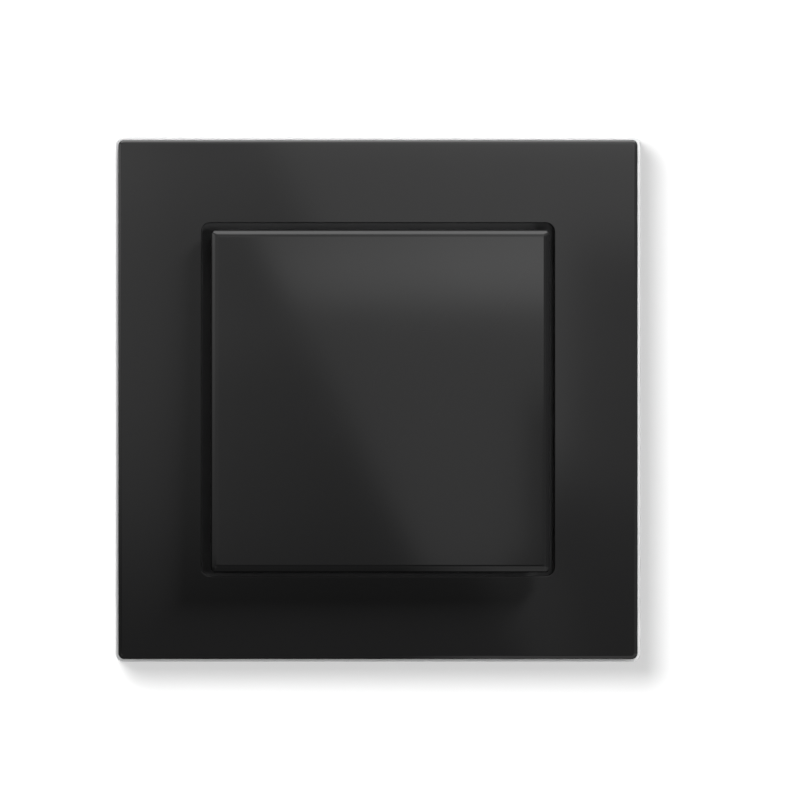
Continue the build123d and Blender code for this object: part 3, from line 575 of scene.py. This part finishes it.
def camelName(node):
    first, *others = node.split("_")
    return first + "".join(word.capitalize() for word in others)


for body, widths in softened.items():
    for node, width in widths.items():
        mesh = makeSoftened(node, width * mm)
        newPiece(camelName(node), mesh, finishes[slotOf[node]], body, slotOf[node], node)
    print("edges broken on", len(widths), "pieces of", body)


# Shapes that follow a path or repeat, grown by node trees


def growPiece(name, tree, sizes, body, slotName, *replaced, points=()):
    base = bpy.data.meshes.new(name)
    base.from_pydata([tuple(point) for point in points], [], [])
    holder = bpy.data.objects.new("grow", base)
    bpy.context.scene.collection.objects.link(holder)
    modifier = holder.modifiers.new("shape", "NODES")
    modifier.node_group = tree
    for socket in tree.interface.items_tree:
        if socket.in_out == "INPUT" and socket.name in sizes:
            modifier[socket.identifier] = sizes[socket.name]
    graph = bpy.context.evaluated_depsgraph_get()
    mesh = bpy.data.meshes.new_from_object(holder.evaluated_get(graph))
    mesh.name = name
    holder.modifiers.remove(modifier)
    bpy.data.objects.remove(holder)
    return newPiece(name, mesh, None, body, slotName, *replaced)


def straightPath(tree, given):
    # a line of points, as many for each turn of the wire
    count = work(tree, "MULTIPLY", given["Turns"], given["Points Per Turn"])
    line = put(tree, "GeometryNodeCurvePrimitiveLine", {"End": (0, 0, 1)}).outputs[0]
    return put(tree, "GeometryNodeResampleCurve", {"Curve": line, "Count": count}).outputs[0]


def wireAlong(tree, path, given):
    ring = put(tree, "GeometryNodeCurvePrimitiveCircle",
               {"Resolution": given["Wire Sides"], "Radius": given["Wire Radius"]}).outputs[0]
    return put(tree, "GeometryNodeCurveToMesh",
               {"Curve": path, "Profile Curve": ring, "Fill Caps": True}).outputs[0]


def endTree(tree, geometry, finish, out, smooth=True):
    solid = put(tree, "GeometryNodeRealizeInstances", {0: geometry}).outputs[0]
    shaded = put(tree, "GeometryNodeSetShadeSmooth", {"Geometry": solid, "Shade Smooth": smooth})
    painted = put(tree, "GeometryNodeSetMaterial",
                  {"Geometry": shaded.outputs[0], "Material": finish})
    tree.links.new(painted.outputs[0], out[0])


def makeSpringTree(finish):
    # round wire on a helix whose end turns lie flat
    tree, given, out = newTree(
        "springShape", "GeometryNodeTree",
        {"Geometry": ("Geometry", None), "Coil Radius": ("Float", 0.0018),
         "Wire Radius": ("Float", 0.0002), "Height": ("Float", 0.008), "Turns": ("Float", 8.0),
         "Flat Turns": ("Float", 0.8), "Place": ("Vector", (0.0, 0.0, 0.0)),
         "Points Per Turn": ("Int", 40), "Wire Sides": ("Int", 12)},
        {"Geometry": ("Geometry", None)},
    )
    path = straightPath(tree, given)
    along = put(tree, "GeometryNodeSplineParameter").outputs["Factor"]
    turned = work(tree, "MULTIPLY", along, given["Turns"])
    angle = work(tree, "MULTIPLY", turned, 2 * math.pi)
    wire = work(tree, "MULTIPLY", given["Wire Radius"], 2.0)
    lastFlat = work(tree, "SUBTRACT", given["Turns"], given["Flat Turns"])
    lead = work(tree, "MULTIPLY", span(tree, turned, 0.0, given["Flat Turns"]), wire)
    tail = work(tree, "MULTIPLY", span(tree, turned, lastFlat, given["Turns"]), wire)
    ends = work(tree, "MULTIPLY", wire, 3.0)    # two flat ends and the wire's own thickness
    rise = work(tree, "SUBTRACT", given["Height"], ends)
    climb = work(tree, "MULTIPLY", span(tree, turned, given["Flat Turns"], lastFlat), rise)
    height = work(tree, "ADD", work(tree, "ADD", lead, tail), climb)
    x = work(tree, "MULTIPLY", work(tree, "COSINE", angle), given["Coil Radius"])
    z = work(tree, "MULTIPLY", work(tree, "SINE", angle), given["Coil Radius"])
    outward = work(tree, "MULTIPLY", work(tree, "ADD", height, given["Wire Radius"]), -1.0)
    spot = put(tree, "ShaderNodeCombineXYZ", {0: x, 1: outward, 2: z}).outputs[0]
    placed = put(tree, "ShaderNodeVectorMath", {0: spot, 1: given["Place"]}, operation="ADD")
    helix = put(tree, "GeometryNodeSetPosition",
                {"Geometry": path, "Position": placed.outputs[0]}).outputs[0]
    endTree(tree, wireAlong(tree, helix, given), finish, out)
    return tree


springShape = {"Coil Radius": 1.8 * mm, "Wire Radius": 0.2 * mm, "Turns": 7.6, "Flat Turns": 0.8}


def makeSprings(s):
    # a spring on each side, at its rest height
    tree = makeSpringTree(finishes["spring_steel"])
    for side in ("left", "right"):
        node = "button_spring_" + side
        low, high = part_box(node)
        place = ((low.x + high.x) / 2, high.y, (low.z + high.z) / 2)
        sizes = {**s, "Height": high.y - low.y, "Place": place}
        spring = growPiece("buttonSpring_" + side, tree, sizes, "root", "spring_steel", node)
        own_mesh(spring)


makeSprings(springShape)
print("springs grown")


def makeWindingTree(finish):
    # one unbroken wire wound turn beside turn on a rounded rectangle, in a few layers
    tree, given, out = newTree(
        "windingShape", "GeometryNodeTree",
        {"Geometry": ("Geometry", None), "Width": ("Float", 0.008), "Thickness": ("Float", 0.004),
         "Length": ("Float", 0.014), "Wire Radius": ("Float", 0.00012),
         "Corner": ("Float", 0.001), "Turns": ("Int", 50), "Depth": ("Float", 0.006),
         "Points Per Turn": ("Int", 32), "Wire Sides": ("Int", 6), "Corner Points": ("Int", 6)},
        {"Geometry": ("Geometry", None)},
    )
    path = straightPath(tree, given)
    box = put(tree, "GeometryNodeCurvePrimitiveQuadrilateral",
              {"Width": given["Width"], "Height": given["Thickness"]}).outputs[0]
    former = put(tree, "GeometryNodeFilletCurve",
                 {"Curve": box, "Radius": given["Corner"], "Count": given["Corner Points"]},
                 mode="POLY").outputs[0]
    along = put(tree, "GeometryNodeSplineParameter").outputs["Factor"]
    turned = work(tree, "FRACT", work(tree, "MULTIPLY", along, given["Turns"]))
    follow = put(tree, "GeometryNodeSampleCurve", {"Curves": former, "Factor": turned},
                 mode="FACTOR")
    flat = put(tree, "ShaderNodeSeparateXYZ", {0: follow.outputs["Position"]}).outputs
    up = work(tree, "MULTIPLY", work(tree, "SUBTRACT", along, 0.5), given["Length"])
    y = work(tree, "SUBTRACT", flat["Y"], given["Depth"])
    spot = put(tree, "ShaderNodeCombineXYZ", {0: flat["X"], 1: y, 2: up}).outputs[0]
    wound = put(tree, "GeometryNodeSetPosition", {"Geometry": path, "Position": spot}).outputs[0]
    endTree(tree, wireAlong(tree, wound, given), finish, out)
    return tree


windingShape = {"wire": 0.14 * mm, "layers": 3, "corner": 1.1 * mm}


def makeWinding(s):
    tree = makeWindingTree(finishes["copper_wire"])
    low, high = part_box("coil_winding")
    turns = int((high.z - low.z) / (2 * s["wire"]))
    for layer in range(s["layers"]):
        inset = s["wire"] * (1 + 2 * layer)
        sizes = {"Width": high.x - low.x - 2 * inset, "Thickness": high.y - low.y - 2 * inset,
                 "Length": high.z - low.z - 2 * s["wire"], "Wire Radius": s["wire"],
                 "Corner": s["corner"] - inset / 2, "Turns": turns,
                 "Depth": -(low.y + high.y) / 2}
        replaced = ("coil_winding",) if layer == 0 else ()
        growPiece(f"coilLayer_{layer + 1}", tree, sizes, "root", "copper_wire", *replaced)


makeWinding(windingShape)
print("coil wound")

# Tinned ends on the small parts of the board; high and wide are shares of the part
tinnedEnds = {
    "chip_parts": {"length": 0.24 * mm, "proud": 0.02 * mm, "high": 1.0, "wide": 0.9},
    "rectifier_diodes": {"length": 0.3 * mm, "proud": 0.02 * mm, "high": 0.55, "wide": 0.9},
}


def makeEndsTree(finish):
    # on every point a pair of small boxes, set apart along X
    tree, given, out = newTree(
        "tinnedEnds", "GeometryNodeTree",
        {"Geometry": ("Geometry", None), "Size": ("Vector", (0.0002, 0.0005, 0.0006)),
         "Apart": ("Float", 0.001)},
        {"Geometry": ("Geometry", None)},
    )
    box = put(tree, "GeometryNodeMeshCube", {"Size": given["Size"]}).outputs[0]
    pair = put(tree, "GeometryNodeJoinGeometry")
    for side in (0.5, -0.5):
        aside = work(tree, "MULTIPLY", given["Apart"], side)
        shift = put(tree, "ShaderNodeCombineXYZ", {0: aside}).outputs[0]
        moved = put(tree, "GeometryNodeTransform", {"Geometry": box, "Translation": shift})
        tree.links.new(moved.outputs[0], pair.inputs[0])
    spots = put(tree, "GeometryNodeMeshToPoints", {"Mesh": given["Geometry"]}).outputs[0]
    ends = put(tree, "GeometryNodeInstanceOnPoints", {"Points": spots, "Instance": pair.outputs[0]})
    endTree(tree, ends.outputs[0], finish, out, smooth=False)
    return tree


def bodiesOf(node):
    # the middle and size of each separate body in a node
    shape = mergedShape(node)
    left, found = set(shape.verts), []
    while left:
        reached, edge = set(), [min(left, key=lambda v: v.index)]
        while edge:
            vertex = edge.pop()
            if vertex not in reached:
                reached.add(vertex)
                edge += [link.other_vert(vertex) for link in vertex.link_edges]
        left -= reached
        low = Vector([min(v.co[i] for v in reached) for i in range(3)])
        high = Vector([max(v.co[i] for v in reached) for i in range(3)])
        found.append(((low + high) / 2, high - low))
    shape.free()
    return found


def makeTinnedEnds(parts):
    tree = makeEndsTree(finishes["tinned_brass"])
    for node, s in parts.items():
        bodies = bodiesOf(node)
        across = bodies[0][1]
        tall = across.y * s["high"]
        sink = (across.y - tall) / 2
        sizes = {"Size": (s["length"], tall + s["proud"], across.z * s["wide"] + s["proud"]),
                 "Apart": across.x - s["length"] + 2 * s["proud"]}
        spots = [middle + Vector((0, sink - s["proud"] / 2, 0)) for middle, size in bodies]
        growPiece(camelName(node) + "Ends", tree, sizes, "root", "tinned_brass", points=spots)
        print("tinned ends on", len(bodies), node)


makeTinnedEnds(tinnedEnds)

# Return leaf: the bowed blade, smooth along its bow
leafShape = {"edge": 0.03 * mm}


def makeReturnLeaf(s):
    mesh = makeSoftened("return_leaf", s["edge"])
    leaf = newPiece("returnLeaf", mesh, finishes["spring_steel"], "root", "spring_steel",
                    "return_leaf")
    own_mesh(leaf)


makeReturnLeaf(leafShape)
print("return leaf made")

# Stage: wall, floor, cards that only reflections see, lamps and world
stage = {
    "wallHalf": 0.35, "wallBehind": 0.00005, "wallGlow": 0.575,
    "floorHalf": 1.2, "floorDown": 0.3, "floorGlow": 0.9,
    "cardDistance": 0.666, "cardHalf": 1.1, "cardTop": 0.52, "cardBottom": -0.9,
    "sideCardOut": 0.22, "sideCardAlong": (-0.2, 0.03), "sideCardUp": (-0.3, 0.12),
    "lowCardDown": 0.25, "lowCardHalf": 0.2, "lowCardAlong": (-0.66, 0.3),
    "lowCardFade": (0.0, 0.2, 1.0, 0.15), "diffuseSky": 0.08, "room": 0.45, "around": 0.1,
    "roomAside": (0.12, 0.3), "roomAslope": (0.06, 0.18),
    "overhead": 3.3, "overheadEdge": (0.63, 0.71),
}
paintLook = {"rough": 0.9, "patches": 60.0, "detail": 3.0, "dark": (0.79, 0.79, 0.79),
             "light": (0.81, 0.81, 0.81)}
lamps = {
    "wallLamp": {"place": (-0.16, -0.6, 0.17), "size": 0.3, "power": 3.3, "on": "room"},
    "keyLamp": {"place": (0.231, -0.141, 0.244), "size": 0.11, "power": 1.7, "on": "plates"},
    "softLamp": {"place": (-0.05, -0.6, -0.05), "size": 0.4, "power": 0.65, "on": "plates"},
    "gapLamp": {"place": (0.085, -0.7, -0.02), "size": 0.05, "power": 2.2, "on": "inside"},
    "topGapLamp": {"place": (0.2, -0.4, 0.03), "size": 0.03, "power": 1.0, "on": "inside"},
    "trimLamp": {"place": (0.085, -0.7, 0.05), "size": 0.05, "power": 2.0, "on": "trim"},
    "leftFill": {"place": (-0.5, -0.05, 0.05), "size": 0.3, "power": 1.5, "on": "lightPieces"},
    "rightFill": {"place": (0.4, -0.3, 0.1), "size": 0.3, "power": 1.1, "on": "lightPieces"},
    "topFill": {"place": (0.05, -0.3, 0.42), "size": 0.3, "power": 1.7, "on": "lightPieces"},
    "lowFill": {"place": (0.0, -0.08, -0.5), "size": 0.3, "power": 0.6, "on": "lightPieces"},
    "rimLamp": {"place": (-0.25, -0.6, -0.2), "size": 0.2, "power": 1.3, "on": "trim"},
    "backLamp": {"place": (0.1, 0.5, 0.25), "size": 0.3, "power": 3.2, "on": "product"},
}


def plainSheet(name, corners, finish):
    mesh = bpy.data.meshes.new(name)
    mesh.from_pydata(corners, [], [list(range(len(corners)))])
    sheet = bpy.data.objects.new(name, mesh)
    mesh.materials.append(finish)
    bpy.context.scene.collection.objects.link(sheet)
    sheet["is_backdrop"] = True
    return sheet


def onlyReflected(sheet):
    sheet.visible_camera = False
    sheet.visible_diffuse = False
    sheet.visible_shadow = False
    sheet.visible_transmission = False


def glowFinish(name):
    finish = bpy.data.materials.new(name)
    finish.use_nodes = True
    tree = finish.node_tree
    tree.nodes.clear()
    end = put(tree, "ShaderNodeOutputMaterial")
    glow = put(tree, "ShaderNodeEmission")
    tree.links.new(glow.outputs[0], end.inputs["Surface"])
    axes = put(tree, "ShaderNodeSeparateXYZ", {0: objectPlace(tree)}).outputs
    return finish, tree, glow, axes


def levels(tree, axis, stops):
    # a brightness that follows one axis, from (place, brightness) stops in order
    low, high = stops[0][0], stops[-1][0]
    blend = put(tree, "ShaderNodeValToRGB", {0: span(tree, axis, low, high)})
    ramp = blend.color_ramp
    while len(ramp.elements) < len(stops):
        ramp.elements.new(0.5)
    top = max(level for place, level in stops)
    for element, (place, level) in zip(ramp.elements, stops):
        element.position = (place - low) / (high - low)
        element.color = (level / top,) * 3 + (1,)
    return work(tree, "MULTIPLY", blend.outputs[0], top)


# The front card: darker left of a slanting edge, and fading downwards on both sides of it.
# The pairs are (place in metres, brightness).
frontCard = {
    "slant": 0.5, "edgeAt": 0.0032, "edgeSoft": 0.0025,
    "left": ((-0.0392, 0.04), (-0.0314, 0.08), (-0.0173, 0.25), (0.0008, 0.385), (0.0252, 0.485),
             (0.0374, 0.63), (0.0434, 0.6), (0.0556, 0.6), (0.13, 0.65), (0.25, 0.4), (0.52, 0.35)),
    "acrossLeft": ((-0.0387, 1.35), (-0.03, 1.0), (-0.008, 0.75)),
    "right": ((-0.0392, 0.22), (-0.0314, 0.2), (-0.018, 0.4), (-0.0093, 0.75), (0.013, 0.82),
              (0.034, 0.82), (0.0402, 0.83), (0.0434, 1.62), (0.0495, 1.95), (0.0556, 1.68),
              (0.13, 1.2), (0.52, 0.9)),
    "acrossTop": ((-0.02, 0.74), (-0.0138, 0.8), (-0.0077, 0.88), (0.0045, 0.95), (0.0167, 1.07),
                  (0.0289, 1.12)),
    "fadeOver": (0.0404, 0.0424),
    "acrossRight": ((0.0285, 1.0), (0.032, 0.38)),
    "fadeUnder": (0.03, 0.018),
    # a dip next to the push plate: painted shade that the plate reflects
    "capShadeAcross": ((0.0255, 1.0), (0.0272, 0.25), (0.0316, 0.42), (0.036, 0.42)),
    "capShadeTop": (-0.006, -0.014), "capShadeFoot": (-0.03, -0.025),
    "bandWidth": 0.1, "bandFade": (0.0, 0.85, 1.0, 0.0), "bandRise": (0.88, 0.95),
    "bands": (0.2, 1.3), "rightBands": (0.04, 0.45), "aside": (0.2, 0.3), "aslope": (0.1, 0.2),
}


def makeFrontCard(s, c):
    finish, tree, glow, axes = glowFinish("frontGlow")
    x, z = axes["X"], axes["Z"]
    slanted = work(tree, "MULTIPLY_ADD", z, c["slant"], x)
    soft = c["edgeSoft"]
    share = span(tree, slanted, c["edgeAt"] - soft, c["edgeAt"] + soft, curve="SMOOTHSTEP")
    left = work(tree, "MULTIPLY", levels(tree, z, c["left"]), levels(tree, x, c["acrossLeft"]))
    # right of the edge the brightness across differs low down and on top; next to the push plate a dip in it is
    # painted shade, which the plate shows right of the push plate
    lowered = span(tree, z, *c["fadeUnder"])
    kept = mixed(tree, lowered, 1.0, levels(tree, x, c["acrossRight"]))
    beside = work(tree, "MULTIPLY", span(tree, z, *c["capShadeTop"]), span(tree, z, *c["capShadeFoot"]))
    kept = mixed(tree, beside, kept, levels(tree, x, c["capShadeAcross"]))
    over = mixed(tree, span(tree, z, *c["fadeOver"]), 1.0, levels(tree, x, c["acrossTop"]))
    right = work(tree, "MULTIPLY", work(tree, "MULTIPLY", levels(tree, z, c["right"]), kept), over)
    both = mixed(tree, share, left, right)
    # further out, soft bands on the same slant: bright at their left edge and fading to the right
    along = work(tree, "FRACT", work(tree, "DIVIDE", slanted, c["bandWidth"]))
    rising = span(tree, along, *c["bandRise"])
    band = work(tree, "MAXIMUM", span(tree, along, *c["bandFade"]), rising)
    both = mixed(tree, span(tree, x, *c["aside"]), both, span(tree, band, 0, 1, *c["rightBands"]))
    aside = span(tree, work(tree, "ABSOLUTE", x), *c["aside"])
    aslope = span(tree, work(tree, "ABSOLUTE", z), *c["aslope"])
    outer = work(tree, "MULTIPLY", aside, aslope)
    both = mixed(tree, outer, both, span(tree, band, 0, 1, *c["bands"]))
    tree.links.new(both, glow.inputs["Strength"])
    half, y = s["cardHalf"], -s["cardDistance"]
    low, high = s["cardBottom"], s["cardTop"]
    corners = [(half, y, low), (-half, y, low), (-half, y, high), (half, y, high)]
    onlyReflected(plainSheet("frontCard", corners, finish))


sideLevels = ((-0.06, 0.1), (-0.0314, 0.25), (0.0, 0.78), (0.031, 1.4), (0.06, 1.8))
lowLevels = ((0.004, 0.17), (0.02, 0.7))


def makeSideCard(s):
    # a tall card on the left that fades downwards
    finish, tree, glow, axes = glowFinish("sideGlow")
    tree.links.new(levels(tree, axes["Z"], sideLevels), glow.inputs["Strength"])
    x, (front, back), (low, high) = -s["sideCardOut"], s["sideCardAlong"], s["sideCardUp"]
    corners = [(x, front, low), (x, back, low), (x, back, high), (x, front, high)]
    onlyReflected(plainSheet("sideCard", corners, finish))


def makeLowCard(s):
    # a card underneath that is brighter to the right and fades towards the wall
    finish, tree, glow, axes = glowFinish("lowGlow")
    toWall = span(tree, axes["Y"], *s["lowCardFade"])
    bright = work(tree, "MULTIPLY", levels(tree, axes["X"], lowLevels), toWall)
    tree.links.new(bright, glow.inputs["Strength"])
    half, (front, back), z = s["lowCardHalf"], s["lowCardAlong"], -s["lowCardDown"]
    corners = [(-half, front, z), (half, front, z), (half, back, z), (-half, back, z)]
    onlyReflected(plainSheet("lowCard", corners, finish))


def roomPaint(name, glow, oneSided, s=paintLook):
    # matt pale paint that keeps shadows and is white to the camera where the light falls freely
    finish, tree, shader = newFinish(name, Roughness=s["rough"], Specular_IOR_Level=0.0)
    paint = put(tree, "ShaderNodeTexNoise",
                {"Vector": objectPlace(tree), "Scale": s["patches"], "Detail": s["detail"]})
    addColour(tree, shader, paint.outputs["Fac"], s["dark"], s["light"])
    seen = put(tree, "ShaderNodeLightPath").outputs["Is Camera Ray"]
    light = put(tree, "ShaderNodeEmission", {"Strength": work(tree, "MULTIPLY", seen, glow)})
    lit = put(tree, "ShaderNodeAddShader", {0: shader.outputs[0], 1: light.outputs[0]}).outputs[0]
    if oneSided:
        clear = put(tree, "ShaderNodeBsdfTransparent").outputs[0]
        behind = put(tree, "ShaderNodeNewGeometry").outputs["Backfacing"]
        lit = put(tree, "ShaderNodeMixShader", {0: behind, 1: lit, 2: clear}).outputs[0]
    tree.links.new(lit, tree.nodes["Material Output"].inputs["Surface"])
    return finish


def makeRoom(s):
    wide, y = s["wallHalf"], s["wallBehind"]
    corners = [(-wide, y, -wide), (wide, y, -wide), (wide, y, wide), (-wide, y, wide)]
    wall = plainSheet("wall", corners, roomPaint("wallPaint", s["wallGlow"], True))
    wide, z = s["floorHalf"], -s["floorDown"]
    corners = [(-wide, -wide, z), (wide, -wide, z), (wide, wide, z), (-wide, wide, z)]
    floor = plainSheet("floor", corners, roomPaint("floorPaint", s["floorGlow"], False))
    for sheet in (wall, floor):
        for ray in ("visible_diffuse", "visible_glossy", "visible_shadow", "visible_transmission"):
            setattr(sheet, ray, False)
    return wall, floor


def makeSky(s):
    # white to the camera and soft on the surfaces; reflections see a pale room, dark straight ahead
    # and to the sides where the cards stand, with a bright light overhead
    sky = bpy.data.worlds.new("studio")
    bpy.context.scene.world = sky
    sky.use_nodes = True
    tree = sky.node_tree
    tree.nodes.clear()
    end = put(tree, "ShaderNodeOutputWorld")
    toward = put(tree, "ShaderNodeTexCoord").outputs["Generated"]
    axes = put(tree, "ShaderNodeSeparateXYZ", {0: toward}).outputs
    aside = span(tree, work(tree, "ABSOLUTE", axes["X"]), *s["roomAside"])
    aslope = span(tree, work(tree, "ABSOLUTE", axes["Z"]), *s["roomAslope"])
    shade = mixed(tree, work(tree, "MULTIPLY", aside, aslope), s["around"], s["room"])
    high = span(tree, axes["Z"], *s["overheadEdge"], 0.0, s["overhead"])
    path = put(tree, "ShaderNodeLightPath").outputs
    bright = work(tree, "MAXIMUM", shade, high)
    reflected, soft, white = [put(tree, "ShaderNodeBackground", {"Strength": strength}).outputs[0]
                              for strength in (bright, s["diffuseSky"], 1.0)]
    for background in (reflected, soft, white):
        background.node.inputs["Color"].default_value = (1, 1, 1, 1)
    lit = put(tree, "ShaderNodeMixShader", {0: path["Is Glossy Ray"], 1: soft, 2: reflected})
    seen = put(tree, "ShaderNodeMixShader", {0: path["Is Camera Ray"], 1: lit.outputs[0], 2: white})
    tree.links.new(seen.outputs[0], end.inputs["Surface"])


def addLamp(name, s, receivers):
    lamp = bpy.data.lights.new(name, "AREA")
    lamp.shape = "DISK"
    lamp.size = s["size"]
    lamp.energy = s["power"]
    holder = bpy.data.objects.new(name, lamp)
    holder.location = s["place"]
    holder.rotation_euler = (-Vector(s["place"])).to_track_quat("-Z", "Y").to_euler()
    holder.visible_glossy = False
    holder.visible_camera = False
    bpy.context.scene.collection.objects.link(holder)
    holder.light_linking.receiver_collection = receivers


def makeStage(s):
    makeFrontCard(s, frontCard)
    makeSideCard(s)
    makeLowCard(s)
    lit = {name: bpy.data.collections.new(name) for name in
           ("room", "product", "plates", "lightPieces", "trim", "inside")}
    for sheet in makeRoom(s):
        lit["room"].objects.link(sheet)
    makeSky(s)
    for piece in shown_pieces():
        lit["product"].objects.link(piece)
        if piece.name in ("glossPlate", "pushPlate"):
            lit["plates"].objects.link(piece)
            continue
        lit["lightPieces"].objects.link(piece)
        lit["trim" if piece.name == "trimFrame" else "inside"].objects.link(piece)
    # the trim's bright sides don't lighten the wall's shadow
    bpy.data.objects["trimFrame"].visible_diffuse = False
    for name, lamp in lamps.items():
        addLamp(name, lamp, lit[lamp["on"]])


makeStage(stage)
scene = bpy.context.scene
scene.view_settings.view_transform = "Standard"
print("stage lit")
